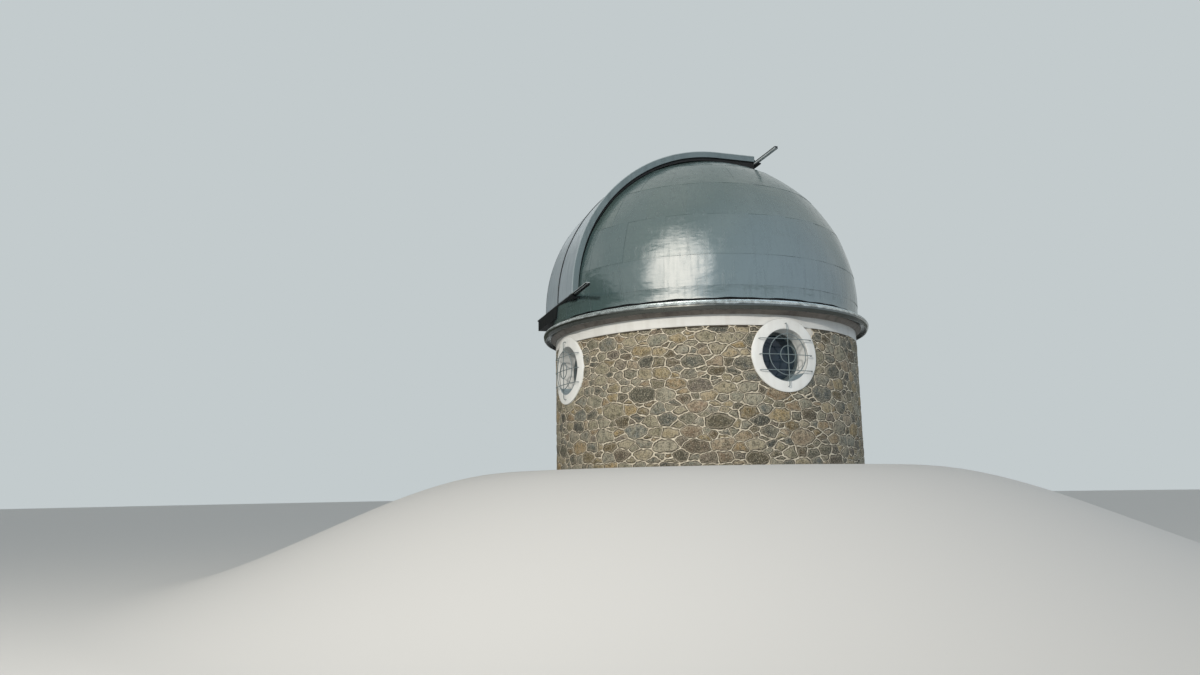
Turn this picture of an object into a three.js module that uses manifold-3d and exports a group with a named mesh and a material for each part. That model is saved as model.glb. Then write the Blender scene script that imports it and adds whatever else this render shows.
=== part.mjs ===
// Observatory dome: a round stone drum with four portholes, and a turning sheet-metal dome
// whose observing slit is closed by two shutters that slide apart.
// Millimetres, +Z up. The origin is on the dome's axis at ground level.
// The slit looks along -Y, and the shutters slide along X.
import * as THREE from 'three';
import { mergeVertices } from 'three/addons/utils/BufferGeometryUtils.js';
import Module from 'manifold-3d';

const wasm = await Module();
wasm.setup();

// Driving dimensions
const DRUM_RADIUS = 3430;
const WALL_THICKNESS = 500;
const STONE_TOP = 2730;
const WALL_TOP = 2950;
const BAND_PROJECTION = 15;
const FLOOR_THICKNESS = 150;

const WINDOW_TURN = 3.3;
const WINDOW_SPACING = 91.2;
const WINDOW_HEIGHT = 2150;
const OPENING_RADIUS = 520;
const SURROUND_RADIUS = 735;
const SURROUND_PROJECTION = 45;
const REVEAL_DEPTH = 400;
const REVEAL_PLASTER = 15;
const FRAME_WIDTH = 65;
const FRAME_DEPTH = 55;
const GLASS_THICKNESS = 10;

// The fixed ring on the wall: a metal flashing with the track on it
const FLASHING_RADIUS = 3560;
const FLASHING_BOTTOM = 2945;
const FLASHING_TOP = 3075;
const TRACK_OUTER = 3400;
const TRACK_INNER = 3330;
const TRACK_TOP = 3110;

// The dome's base ring and the skirt that hangs from it
const BASE_RING_OUTER = 3470;
const BASE_RING_INNER = 3300;
const SKIRT_ROOT = 3215;
const SKIRT_TOP = 3250;
const SKIRT_BOTTOM = 2995;
const SKIRT_WAIST = 3100;
const SKIRT_RADIUS = 3730;
const SKIRT_LIP_RADIUS = 3690;
const SKIRT_EDGE = 22;

const DOME_RADIUS = 3520;
const DOME_CENTRE = 3660;
const SKIN_THICKNESS = 30;

const SLIT_HALF_WIDTH = 800;
const SLIT_FOOT = 3632;
const SLIT_REAR = 1046;
const SILL_FRONT = -3515;
const SILL_DEPTH = 195;
const SILL_HEIGHT = 13;
const RIB_WIDTH = 40;
const RIB_OUTER_RADIUS = 3430;
const RIB_INNER_RADIUS = 3330;
const RIB_STEP_TOP = 7075;
const CROSSBAR_HALF_LENGTH = 1290;
const CROSSBAR_BOTTOM = 6985;
const CROSSBAR_TOP = 7015;
const CLOSING_HALF_WIDTH = 1055;
const CLOSING_FOOT = 6800;
const CLOSING_THICKNESS = 14;

const SHUTTER_RADIUS = 3500;
const SHUTTER_CENTRE = 3720;
const SHUTTER_WIDTH = 1145;
const SHUTTER_REAR = 960;
const SHUTTER_SHEET = 20;
const REAR_LIP = 10;
const FLANGE_DEPTH = 135;
const FLANGE_THICKNESS = 16;
const SEAM_HALF_GAP = 3;

const FRONT_RAIL_ENDS = [-1950, 2200];
const REAR_RAIL_HALF_LENGTH = 2090;
const RAIL_HEIGHT = 58;
const RAIL_WEB = 10;
const RAIL_WALL = 12;
const RAIL_LIP = 36;
const RAIL_SOLID_HALF_LENGTH = 1150;
const FRONT_RAIL_OUTER = -3510;
const FRONT_RAIL_INNER = -3425;
const REAR_RAIL_TOP = 7105;
const SHELF_THICKNESS = 36;
const GUSSET_PLACE = [985, 1009];
const GUSSET_FOOT = 3570;
const DRIVE_BOX_ENDS = [-1720, -100];
const DRIVE_BOX_FRONT = -3545;
const DRIVE_BOX_BACK = -3200;
const DRIVE_BOX_FOOT = 3400;
const DRIVE_BOX_TIP = 60;
const WHEEL_RADIUS = 30;
const WHEEL_WIDTH = 35;
const WHEEL_PLACES = [110, 1060];
const CARRIAGE_ENDS = [90, 1080];
const HANGER_HALF_WIDTH = 12;

// A fine joint is kept between two separate pieces that touch.
const FIT = 0.3;
// Tools for cutting run on past the solid that they cut.
const REACH = 200;
// Everything is cut from a space this far from the origin.
const FAR = 8000;
const RING_STEPS = 64;
const SKIN_STEPS = 48;
const WINDOW_STEPS = 32;
const QUARTER = Math.PI / 2;

const rad = (degrees) => degrees * Math.PI / 180;

// Materials
function paint(color, roughness, metalness) {
  return new THREE.MeshStandardMaterial({ color, roughness, metalness });
}

const stone = paint(0x9a8a6c, 0.9, 0);
const plaster = paint(0xe6e0d4, 0.85, 0);
const concrete = paint(0x9c9a94, 0.9, 0);
const flashing = paint(0x6e645c, 0.5, 0.6);
const skirtPaint = paint(0xa9adad, 0.35, 0.5);
const domePaint = paint(0x75817f, 0.3, 0.4);
const shutterPaint = paint(0x969da0, 0.35, 0.4);
const darkSteel = paint(0x2a2c2c, 0.5, 0.7);
const framePaint = paint(0x4a5453, 0.5, 0.4);
const glass = paint(0x1d2c2e, 0.08, 0);

const model = new THREE.Group();

function addPiece(name, geometry, material) {
  const mesh = new THREE.Mesh(geometry, material);
  mesh.name = name;
  model.add(mesh);
  return mesh;
}

// Solids for joining and cutting
function solidOf(geometry) {
  const bare = geometry.clone();
  bare.deleteAttribute('normal');
  bare.deleteAttribute('uv');
  const merged = mergeVertices(bare);
  return new wasm.Manifold(new wasm.Mesh({
    numProp: 3,
    vertProperties: merged.attributes.position.array,
    triVerts: Uint32Array.from(merged.index.array),
  }));
}

function geometryOf(solid) {
  const mesh = solid.getMesh();
  const geometry = new THREE.BufferGeometry();
  geometry.setAttribute('position', new THREE.BufferAttribute(mesh.vertProperties, 3));
  geometry.setIndex(new THREE.BufferAttribute(mesh.triVerts, 1));
  geometry.computeVertexNormals();
  return geometry;
}

// A box given by its limits along X, Y and Z
function boxGeometry([x0, x1], [y0, y1], [z0, z1]) {
  const box = new THREE.BoxGeometry(x1 - x0, y1 - y0, z1 - z0);
  return box.translate((x0 + x1) / 2, (y0 + y1) / 2, (z0 + z1) / 2);
}

// A flat plan outline raised from one height to another
function raised(points, bottom, top) {
  const shape = new THREE.Shape(points.map(([x, y]) => new THREE.Vector2(x, y)));
  const geometry = new THREE.ExtrudeGeometry(shape, { depth: top - bottom, bevelEnabled: false });
  return geometry.translate(0, 0, bottom);
}

// An outline drawn in the YZ plane and carried along X from x0 to x1
function carriedAlongX(points, x0, x1) {
  const geometry = raised(points, x0, x1);
  // plan x, plan y, height become Y, Z, X
  geometry.applyMatrix4(new THREE.Matrix4().set(
    0, 0, 1, 0,
    1, 0, 0, 0,
    0, 1, 0, 0,
    0, 0, 0, 1,
  ));
  return geometry;
}

// An outline drawn in the XZ plane and carried along Y from y0 to y1
function carriedAlongY(points, y0, y1) {
  return raised(points, -y1, -y0).rotateX(QUARTER);
}

// Points of an arc about a centre, from one angle to another in degrees
function arc(radius, from, to, steps, cx = 0, cy = 0) {
  return Array.from({ length: steps + 1 }, (unused, i) => {
    const angle = rad(from + (to - from) * i / steps);
    return [cx + radius * Math.cos(angle), cy + radius * Math.sin(angle)];
  });
}

// A part of a round wall, seen in plan, from the first angle to the last and through those between them
function wallPlan(inner, outer, ...stops) {
  const outside = [];
  const inside = [];
  for (let i = 1; i < stops.length; i++) {
    const from = stops[i - 1];
    const to = stops[i];
    const steps = Math.round((to - from) / (360 / RING_STEPS));
    const kept = i < stops.length - 1 ? steps : steps + 1;
    outside.push(...arc(outer, from, to, steps).slice(0, kept));
    inside.push(...arc(inner, from, to, steps).slice(0, kept));
  }
  return [...outside, ...inside.reverse()];
}

// A closed (radius, height) profile turned about the Z axis
function turned(profile) {
  const points = profile.map(([r, z]) => new THREE.Vector2(r, z));
  if (THREE.ShapeUtils.area(points) < 0) {
    points.reverse();
  }
  points.push(points[0].clone());
  return new THREE.LatheGeometry(points, RING_STEPS).rotateX(QUARTER);
}

// A round bar whose axis points out from the drum's axis along X, from x0 to x1
function radialBar(radius, x0, x1) {
  const bar = new THREE.CylinderGeometry(radius, radius, x1 - x0, WINDOW_STEPS);
  return bar.rotateZ(-QUARTER).translate((x0 + x1) / 2, 0, WINDOW_HEIGHT);
}

// Drum: eight wall segments, of which every other one has a porthole cut through it.
// The plain segments fill what is left between them, which is narrower between the front and right windows.
const SEGMENT_ANGLE = 45;
const SIDES = ['right', 'rear', 'left', 'front'];
const LAST_SPACING = 360 - 3 * WINDOW_SPACING;
const wallInner = DRUM_RADIUS - WALL_THICKNESS;
const holeRadius = OPENING_RADIUS + REVEAL_PLASTER;
const jointAngle = FIT / DRUM_RADIUS * 90 / Math.PI;

function turnedToSide(geometry, side) {
  return geometry.rotateZ(rad(WINDOW_TURN + side * WINDOW_SPACING));
}

function spacingBefore(side) {
  return side === 0 ? LAST_SPACING : WINDOW_SPACING;
}

function spacingAfter(side) {
  return side === SIDES.length - 1 ? LAST_SPACING : WINDOW_SPACING;
}

SIDES.forEach((name, side) => {
  const half = SEGMENT_ANGLE / 2;
  const plan = wallPlan(wallInner, DRUM_RADIUS, -half + jointAngle, half - jointAngle);
  const blank = solidOf(raised(plan, 0, STONE_TOP));
  const hole = solidOf(radialBar(holeRadius, wallInner - REACH, DRUM_RADIUS + REACH));
  const pierced = geometryOf(blank.subtract(hole));
  addPiece(`wall_window_${name}`, turnedToSide(pierced, side), stone);

  const start = half + jointAngle;
  const end = spacingAfter(side) - half - jointAngle;
  const plain = raised(wallPlan(wallInner, DRUM_RADIUS, start, end), 0, STONE_TOP);
  addPiece(`wall_plain_${name}`, turnedToSide(plain, side), stone);
});

// Plaster band round the top of the wall, in quarters that meet between the windows.
// Its flat faces start and end where those of the window segments and the surrounds do.
const bandOuter = DRUM_RADIUS + BAND_PROJECTION;
SIDES.forEach((name, side) => {
  const start = jointAngle - spacingBefore(side) / 2;
  const end = spacingAfter(side) / 2 - jointAngle;
  const plan = wallPlan(wallInner, bandOuter, start, -SEGMENT_ANGLE / 2, SEGMENT_ANGLE / 2, end);
  addPiece(`band_${name}`, turnedToSide(raised(plan, STONE_TOP + FIT, WALL_TOP), side), plaster);
});

// Windows: plaster surround with its reveal, frame and glass
const faceRadius = DRUM_RADIUS + SURROUND_PROJECTION;
const frameFace = faceRadius - REVEAL_DEPTH;
const frameBack = frameFace - FRAME_DEPTH;

// A solid part of the round wall over one window segment
function shell(inner, outer, bottom, top) {
  return solidOf(raised(wallPlan(inner, outer, -SEGMENT_ANGLE / 2, SEGMENT_ANGLE / 2), bottom, top));
}

// The flat ring stops below the band and in front of the stones. The sleeve lines the hole.
function surroundGeometry() {
  const disc = solidOf(radialBar(SURROUND_RADIUS, wallInner, faceRadius + REACH));
  const face = disc.intersect(shell(DRUM_RADIUS + FIT, faceRadius, 0, WALL_TOP));
  const behindBand = shell(wallInner, bandOuter + FIT, STONE_TOP, WALL_TOP + REACH);
  const lining = solidOf(radialBar(holeRadius - FIT, frameFace, faceRadius + REACH));
  const sleeve = lining.intersect(shell(frameFace - REACH, faceRadius, 0, WALL_TOP));
  const bore = solidOf(radialBar(OPENING_RADIUS, frameFace - REACH, faceRadius + REACH));
  return geometryOf(face.subtract(behindBand).add(sleeve).subtract(bore));
}

const paneRadius = OPENING_RADIUS - FRAME_WIDTH;
function frameGeometry() {
  const outside = solidOf(radialBar(holeRadius - FIT, frameBack, frameFace - FIT));
  const inside = solidOf(radialBar(paneRadius, frameBack - REACH, frameFace + REACH));
  return geometryOf(outside.subtract(inside));
}

const glassMiddle = (frameFace + frameBack) / 2;
const glassBack = glassMiddle - GLASS_THICKNESS / 2;
SIDES.forEach((name, side) => {
  addPiece(`surround_${name}`, turnedToSide(surroundGeometry(), side), plaster);
  addPiece(`window_frame_${name}`, turnedToSide(frameGeometry(), side), framePaint);
  const pane = radialBar(paneRadius - FIT, glassBack, glassBack + GLASS_THICKNESS);
  addPiece(`window_glass_${name}`, turnedToSide(pane, side), glass);
});

// Floor inside the drum, with the same flat sides as the wall segments round it
const SEGMENT_STEPS = SEGMENT_ANGLE * RING_STEPS / 360;
const floorPlan = SIDES.flatMap((name, side) => {
  const start = WINDOW_TURN + side * WINDOW_SPACING - SEGMENT_ANGLE / 2;
  const middle = start + SEGMENT_ANGLE;
  const end = start + spacingAfter(side);
  const plainSteps = Math.round((end - middle) * RING_STEPS / 360);
  return [
    ...arc(wallInner - FIT, start, middle, SEGMENT_STEPS).slice(0, -1),
    ...arc(wallInner - FIT, middle, end, plainSteps).slice(0, -1),
  ];
});
addPiece('floor', raised(floorPlan, 0, FLOOR_THICKNESS), concrete);

// Fixed ring on the wall: metal flashing outside, and the track that carries the dome
const seatInner = wallInner + 70;
const collar = bandOuter + 7;
const wallRing = [
  [seatInner, WALL_TOP + FIT],
  [collar, WALL_TOP + FIT],
  [collar, FLASHING_BOTTOM],
  [collar + 10, FLASHING_BOTTOM],
  [FLASHING_RADIUS, FLASHING_TOP - 45],
  [FLASHING_RADIUS, FLASHING_TOP - 25],
  [TRACK_OUTER, FLASHING_TOP],
  [TRACK_OUTER, TRACK_TOP - FIT],
  [TRACK_INNER, TRACK_TOP - FIT],
  [TRACK_INNER, FLASHING_TOP],
  [seatInner, FLASHING_TOP],
];
addPiece('wall_ring', turned(wallRing), flashing);

// Dome base ring with its convex skirt, which hangs outside the wall ring
const skirtCurve = new THREE.QuadraticBezierCurve(
  new THREE.Vector2(DOME_RADIUS - 12, SKIRT_TOP),
  new THREE.Vector2(SKIRT_RADIUS - 15, SKIRT_TOP - 15),
  new THREE.Vector2(SKIRT_RADIUS, SKIRT_WAIST),
).getPoints(4).map((p) => [p.x, p.y]);
const skirtRing = [
  [BASE_RING_INNER, SKIRT_TOP],
  ...skirtCurve,
  [SKIRT_RADIUS - 6, SKIRT_WAIST - 55],
  [SKIRT_LIP_RADIUS, SKIRT_BOTTOM],
  [SKIRT_LIP_RADIUS - SKIRT_EDGE, SKIRT_BOTTOM],
  [SKIRT_RADIUS - SKIRT_EDGE, SKIRT_WAIST - 20],
  [BASE_RING_OUTER + 30, SKIRT_ROOT],
  [BASE_RING_OUTER, SKIRT_ROOT],
  [BASE_RING_OUTER, TRACK_TOP],
  [BASE_RING_INNER, TRACK_TOP],
];
addPiece('dome_skirt', turned(skirtRing), skirtPaint);

// Dome skin: a thin sphere, open along the slit, in six gores
function sphere(radius) {
  const ball = new THREE.SphereGeometry(radius, SKIN_STEPS, SKIN_STEPS / 2);
  return ball.rotateX(QUARTER).translate(0, 0, DOME_CENTRE);
}

const slitEdge = SLIT_HALF_WIDTH + RIB_WIDTH;
const domeBall = solidOf(sphere(DOME_RADIUS));
const domeHollow = solidOf(sphere(DOME_RADIUS - SKIN_THICKNESS));
const aboveSkirt = solidOf(boxGeometry([-FAR, FAR], [-FAR, FAR], [SKIRT_TOP + FIT, FAR]));
const slitCut = solidOf(boxGeometry([-slitEdge - FIT, slitEdge + FIT], [-FAR, SLIT_REAR], [SLIT_FOOT, FAR]));
const skin = domeBall.subtract(domeHollow).intersect(aboveSkirt).subtract(slitCut);

const GORES = ['front_right', 'right', 'rear_right', 'rear_left', 'left', 'front_left'];
GORES.forEach((name, i) => {
  const from = -90 + i * 60;
  const [mx, my] = arc(FIT, from + 30, from + 30, 1)[0];
  const wedge = [[0, 0], ...arc(FAR, from, from + 60, 4)].map(([x, y]) => [x + mx, y + my]);
  const gore = skin.intersect(solidOf(raised(wedge, 0, FAR)));
  addPiece(`skin_${name}`, geometryOf(gore), domePaint);
});

// Side view of an arch that follows the shutters: up from the foot to the top, or on to an end angle
const ARCH_STEPS = 20;
function archArc(radius, foot, end = 90) {
  const start = Math.asin((foot - SHUTTER_CENTRE) / radius) * 180 / Math.PI;
  return arc(radius, 180 - start, end, ARCH_STEPS, 0, SHUTTER_CENTRE);
}

// Ribs along both edges of the slit, the sill at its foot and the crossbar at its rear end
const sillTop = SLIT_FOOT + SILL_HEIGHT;
const sillRange = [SILL_FRONT, SILL_FRONT + SILL_DEPTH];
const ribFoot = sillTop + FIT;
const ribRear = SHUTTER_REAR + 12;
const ribStep = SHUTTER_REAR - REAR_LIP - 10;
const ribRearAngle = Math.acos(ribRear / RIB_INNER_RADIUS) * 180 / Math.PI;
const ribOutline = [
  ...archArc(RIB_OUTER_RADIUS, ribFoot),
  [ribStep, SHUTTER_CENTRE + RIB_OUTER_RADIUS],
  [ribStep, RIB_STEP_TOP],
  [ribRear, RIB_STEP_TOP],
  ...archArc(RIB_INNER_RADIUS, ribFoot, ribRearAngle).reverse(),
];
addPiece('slit_rib_right', carriedAlongX(ribOutline, SLIT_HALF_WIDTH, slitEdge), domePaint);
addPiece('slit_rib_left', carriedAlongX(ribOutline, -slitEdge, -SLIT_HALF_WIDTH), domePaint);
addPiece('slit_sill', boxGeometry([-slitEdge, slitEdge], sillRange, [SLIT_FOOT + FIT, sillTop]), darkSteel);

// The crossbar lies behind the ribs. A plate under each end closes the gap down to the skin.
const domeBody = solidOf(sphere(DOME_RADIUS + FIT));
const barDepthRange = [ribRear + FIT, SLIT_REAR - FIT];
const closingRange = [barDepthRange[0], barDepthRange[0] + CLOSING_THICKNESS];
const crossbarRange = [-CROSSBAR_HALF_LENGTH, CROSSBAR_HALF_LENGTH];
let crossbar = solidOf(boxGeometry(crossbarRange, barDepthRange, [CROSSBAR_BOTTOM, CROSSBAR_TOP]));
for (const ends of [[slitEdge + 2, CLOSING_HALF_WIDTH], [-CLOSING_HALF_WIDTH, -slitEdge - 2]]) {
  const plate = solidOf(boxGeometry(ends, closingRange, [CLOSING_FOOT, CROSSBAR_BOTTOM + 5]));
  crossbar = crossbar.add(plate.subtract(domeBody));
}
addPiece('slit_crossbar', geometryOf(crossbar), darkSteel);

// The front rail is solid over the sill and its brackets. Past them it is a channel with its open side
// down, and its front wall is lower than its back wall.
const frontRailTop = sillTop + FIT + RAIL_HEIGHT;
const frontRailRange = [FRONT_RAIL_OUTER, FRONT_RAIL_INNER];
const channelRange = [FRONT_RAIL_OUTER + RAIL_WALL, FRONT_RAIL_INNER - RAIL_WALL];
const lipRange = [FRONT_RAIL_OUTER - 1, FRONT_RAIL_OUTER + RAIL_WALL + 1];
let frontRail = solidOf(boxGeometry(FRONT_RAIL_ENDS, frontRailRange, [sillTop + FIT, frontRailTop]));
for (const side of [-1, 1]) {
  const ends = [side * RAIL_SOLID_HALF_LENGTH, side * FAR].sort((a, b) => a - b);
  const hollow = boxGeometry(ends, channelRange, [sillTop - 1, frontRailTop - RAIL_WEB]);
  const underLip = boxGeometry(ends, lipRange, [sillTop - 1, frontRailTop - RAIL_LIP]);
  frontRail = frontRail.subtract(solidOf(hollow)).subtract(solidOf(underLip));
}
// It is notched where the feet of the ribs stand.
const notchFront = -RIB_OUTER_RADIUS - 1;
const notchBack = FRONT_RAIL_INNER + REACH;
const notchHalfWidth = RIB_WIDTH / 2 + 1;
for (const x of [SLIT_HALF_WIDTH + RIB_WIDTH / 2, -SLIT_HALF_WIDTH - RIB_WIDTH / 2]) {
  const notchRange = [x - notchHalfWidth, x + notchHalfWidth];
  const notch = boxGeometry(notchRange, [notchFront, notchBack], [sillTop, frontRailTop + 1]);
  frontRail = frontRail.subtract(solidOf(notch));
}
addPiece('front_rail', geometryOf(frontRail), darkSteel);

// The rear rail stands on the crossbar by a web
const rearRailBottom = REAR_RAIL_TOP - RAIL_HEIGHT;
const rearRailRange = [-REAR_RAIL_HALF_LENGTH, REAR_RAIL_HALF_LENGTH];
const rearRail = solidOf(boxGeometry(rearRailRange, barDepthRange, [rearRailBottom, REAR_RAIL_TOP]));
const webEnds = [-CLOSING_HALF_WIDTH, CLOSING_HALF_WIDTH];
const web = boxGeometry(webEnds, closingRange, [CROSSBAR_TOP + FIT, rearRailBottom + 5]);
addPiece('rear_rail', geometryOf(rearRail.add(solidOf(web))), darkSteel);

// A copy mirrored across the slit's middle, with its faces still pointing out
function mirrored(geometry, side) {
  if (side < 0) {
    geometry.scale(-1, 1, 1);
    geometry.setIndex(Array.from(geometry.index.array).reverse());
    geometry.computeVertexNormals();
  }
  return geometry;
}

// Brackets between the straight front rail and the round dome: a shelf with a gusset under it.
// The left one also carries a closed box, which leaves room for the sill.
const shelfBottom = sillTop - SHELF_THICKNESS;
const shelfPlan = [[870, -3500], [1149, -3500], [1149, -3250], [870, -3300]];
const gussetOutline = [
  [-3470, shelfBottom + 5],
  [-3310, GUSSET_FOOT],
  [-3200, GUSSET_FOOT],
  [-3200, shelfBottom + 5],
];
const shelf = solidOf(raised(shelfPlan, shelfBottom, sillTop));
const gusset = solidOf(carriedAlongX(gussetOutline, ...GUSSET_PLACE));
const bracket = shelf.add(gusset).subtract(domeBody);
addPiece('rail_bracket_right', geometryOf(bracket), darkSteel);
const boxOutline = [
  [DRIVE_BOX_ENDS[0], DRIVE_BOX_FOOT],
  [DRIVE_BOX_ENDS[1], DRIVE_BOX_FOOT],
  [DRIVE_BOX_TIP, sillTop],
  [DRIVE_BOX_ENDS[0], sillTop],
];
const overSill = [-slitEdge - FIT, slitEdge + FIT];
const sillSpace = boxGeometry(overSill, [DRIVE_BOX_FRONT - 1, DRIVE_BOX_BACK], [SLIT_FOOT, sillTop + 1]);
const driveBox = solidOf(carriedAlongY(boxOutline, DRIVE_BOX_FRONT, DRIVE_BOX_BACK));
const leftBracket = solidOf(mirrored(geometryOf(bracket), -1)).add(driveBox.subtract(solidOf(sillSpace)));
addPiece('rail_bracket_left', geometryOf(leftBracket.subtract(domeBody)), darkSteel);

// Two shutters: an arched sheet, a deep flange along its outer edge, and wheels on both rails
const shutterTop = SHUTTER_CENTRE + SHUTTER_RADIUS;
const sheetInner = SHUTTER_RADIUS - SHUTTER_SHEET;
const flangeInner = SHUTTER_RADIUS - FLANGE_DEPTH;
const sheetOutline = [
  ...archArc(SHUTTER_RADIUS, SHUTTER_CENTRE),
  [SHUTTER_REAR, shutterTop],
  [SHUTTER_REAR, shutterTop - FLANGE_DEPTH],
  [SHUTTER_REAR - REAR_LIP, shutterTop - FLANGE_DEPTH],
  [SHUTTER_REAR - REAR_LIP, shutterTop - SHUTTER_SHEET],
  ...archArc(sheetInner, SHUTTER_CENTRE).reverse(),
];
const flangeOutline = [
  ...archArc(SHUTTER_RADIUS, SHUTTER_CENTRE),
  [SHUTTER_REAR, shutterTop],
  [SHUTTER_REAR, shutterTop - FLANGE_DEPTH],
  ...archArc(flangeInner, SHUTTER_CENTRE).reverse(),
];
const flangeFace = SHUTTER_WIDTH - FLANGE_THICKNESS;

// A wheel that rolls along X, with its middle at the given point
function wheel(x, y, z) {
  const disc = new THREE.CylinderGeometry(WHEEL_RADIUS, WHEEL_RADIUS, WHEEL_WIDTH, 12);
  return solidOf(disc.translate(x, y, z));
}

// Each carriage is a bar behind the sheet's edge with a wheel near both ends.
// The front bar keeps a fine joint to the first facet of the sheet's inner face.
function frontCarriage() {
  const axleHeight = frontRailTop + FIT + WHEEL_RADIUS;
  const barFoot = axleHeight + 42;
  const barHead = axleHeight + 60;
  const step = QUARTER / ARCH_STEPS;
  const upTheFacet = (barHead - SHUTTER_CENTRE) / (sheetInner * Math.sin(step));
  const outside = -sheetInner * (1 - upTheFacet * (1 - Math.cos(step))) + FIT;
  const barDepth = [outside, -sheetInner + 32];
  let carriage = solidOf(boxGeometry(CARRIAGE_ENDS, barDepth, [barFoot, barHead]));
  for (const x of WHEEL_PLACES) {
    const width = [x - HANGER_HALF_WIDTH, x + HANGER_HALF_WIDTH];
    carriage = carriage.add(solidOf(boxGeometry(width, barDepth, [axleHeight, barHead - 5])));
    carriage = carriage.add(wheel(x, barDepth[1] - 10, axleHeight));
  }
  return carriage;
}

function rearCarriage() {
  const axleHeight = REAR_RAIL_TOP + FIT + WHEEL_RADIUS;
  const barDepth = [SHUTTER_REAR + FIT, SHUTTER_REAR + 12];
  let carriage = solidOf(boxGeometry(CARRIAGE_ENDS, barDepth, [axleHeight - 14, axleHeight + 14]));
  for (const x of WHEEL_PLACES) {
    carriage = carriage.add(wheel(x, barDepth[1] + WHEEL_WIDTH / 2 - 2, axleHeight));
  }
  return carriage;
}

for (const [name, side] of [['right', 1], ['left', -1]]) {
  const sheet = solidOf(carriedAlongX(sheetOutline, SEAM_HALF_GAP, flangeFace - FIT));
  const flange = solidOf(carriedAlongX(flangeOutline, flangeFace, SHUTTER_WIDTH));
  addPiece(`shutter_sheet_${name}`, mirrored(geometryOf(sheet), side), shutterPaint);
  addPiece(`shutter_flange_${name}`, mirrored(geometryOf(flange), side), shutterPaint);
  addPiece(`front_wheels_${name}`, mirrored(geometryOf(frontCarriage()), side), darkSteel);
  addPiece(`rear_wheels_${name}`, mirrored(geometryOf(rearCarriage()), side), darkSteel);
}

export default model;
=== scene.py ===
# %% [markdown]
# # An observatory dome
#
# A round drum of rubble stone carries a turning dome of painted sheet metal. The dome has an observing
# slit, and two arched shutters slide apart to open it. The CAD frame gives every size. This lesson adds
# what a plain solid lacks: stones with raised joints, lapped sheets, soft plaster edges, iron window bars
# and real finishes.

# %% Load the frame
import math
import random

import bmesh
import bpy
import numpy as np
from mathutils import Matrix, Vector, noise


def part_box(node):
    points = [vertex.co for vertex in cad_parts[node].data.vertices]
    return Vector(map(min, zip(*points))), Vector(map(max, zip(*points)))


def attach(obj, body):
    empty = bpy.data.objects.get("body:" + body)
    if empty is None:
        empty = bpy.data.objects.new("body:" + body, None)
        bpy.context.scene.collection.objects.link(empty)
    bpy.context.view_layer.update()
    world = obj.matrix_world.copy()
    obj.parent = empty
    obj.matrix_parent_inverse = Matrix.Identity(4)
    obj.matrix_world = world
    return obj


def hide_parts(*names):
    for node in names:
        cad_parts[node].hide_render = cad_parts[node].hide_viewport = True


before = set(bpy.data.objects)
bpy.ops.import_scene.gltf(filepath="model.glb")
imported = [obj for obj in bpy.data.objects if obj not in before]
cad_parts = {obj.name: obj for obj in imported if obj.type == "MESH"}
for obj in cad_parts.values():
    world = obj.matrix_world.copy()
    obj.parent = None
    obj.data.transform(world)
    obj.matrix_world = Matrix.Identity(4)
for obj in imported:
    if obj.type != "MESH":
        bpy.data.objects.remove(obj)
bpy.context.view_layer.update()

scene = bpy.context.scene

# %% [markdown]
# The sizes below repeat the part's own driving dimensions, in metres. Pieces that are built here stand
# exactly where the solids stand, so they can replace them and still move with the same joints.

# %% Sizes
TAU = 2 * math.pi
DRUM_RADIUS = 3.430
WALL_INNER = 2.930
STONE_TOP = 2.730
WALL_TOP = 2.950
BAND_RADIUS = 3.445
SIDES = {"right": 3.3, "rear": 94.5, "left": 185.7, "front": 276.9}
WINDOW_HEIGHT = 2.150
OPENING = 0.520
HOLE = 0.535
SURROUND = 0.735
FACE_RADIUS = 3.475
FRAME_FACE = 3.075
DOME_RADIUS = 3.520
DOME_CENTRE = 3.660
SLIT_EDGE = 0.8403
SLIT_REAR = 1.046
SLIT_FOOT = 3.632
SHUTTER_RADIUS = 3.500
SHUTTER_CENTRE = 3.720
SHUTTER_WIDTH = 1.145
SHUTTER_REAR = 0.960
FLANGE_DEPTH = 0.135

# %% [markdown]
# ## Mesh tools
#
# Most of this building is made of curved sheets. A sheet is easiest to make as two grids of points, one for
# its outer face and one for its inner face, with the rim closed between them. It stays a closed body, which
# lights well and can be made for real. Modifiers could thicken a single grid too, but two grids let each
# face differ.

# %% Pieces
def plain_object(name, verts, faces):
    mesh = bpy.data.meshes.new(name)
    mesh.from_pydata([tuple(v) for v in verts], [], [tuple(f) for f in faces])
    made = bpy.data.objects.new(name, mesh)
    scene.collection.objects.link(made)
    return made


def faced_out(mesh):
    """Turns every face of a closed mesh outwards."""
    solid = bmesh.new()
    solid.from_mesh(mesh)
    bmesh.ops.recalc_face_normals(solid, faces=solid.faces)
    solid.to_mesh(mesh)
    solid.free()


def add_piece(name, verts, faces, finishes, body, stands_for=(), sharp=35, indices=None):
    """Makes a mesh object that rides on a body and, if named, stands for CAD nodes."""
    piece = plain_object(name, verts, faces)
    mesh = piece.data
    for material in finishes:
        mesh.materials.append(material)
    if indices is not None:
        mesh.polygons.foreach_set("material_index", indices)
    faced_out(mesh)
    mesh.polygons.foreach_set("use_smooth", [True] * len(mesh.polygons))
    mesh.set_sharp_from_angle(angle=math.radians(sharp))
    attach(piece, body)
    if stands_for:
        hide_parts(*stands_for)
    return piece


print("piece maker ready")

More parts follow.
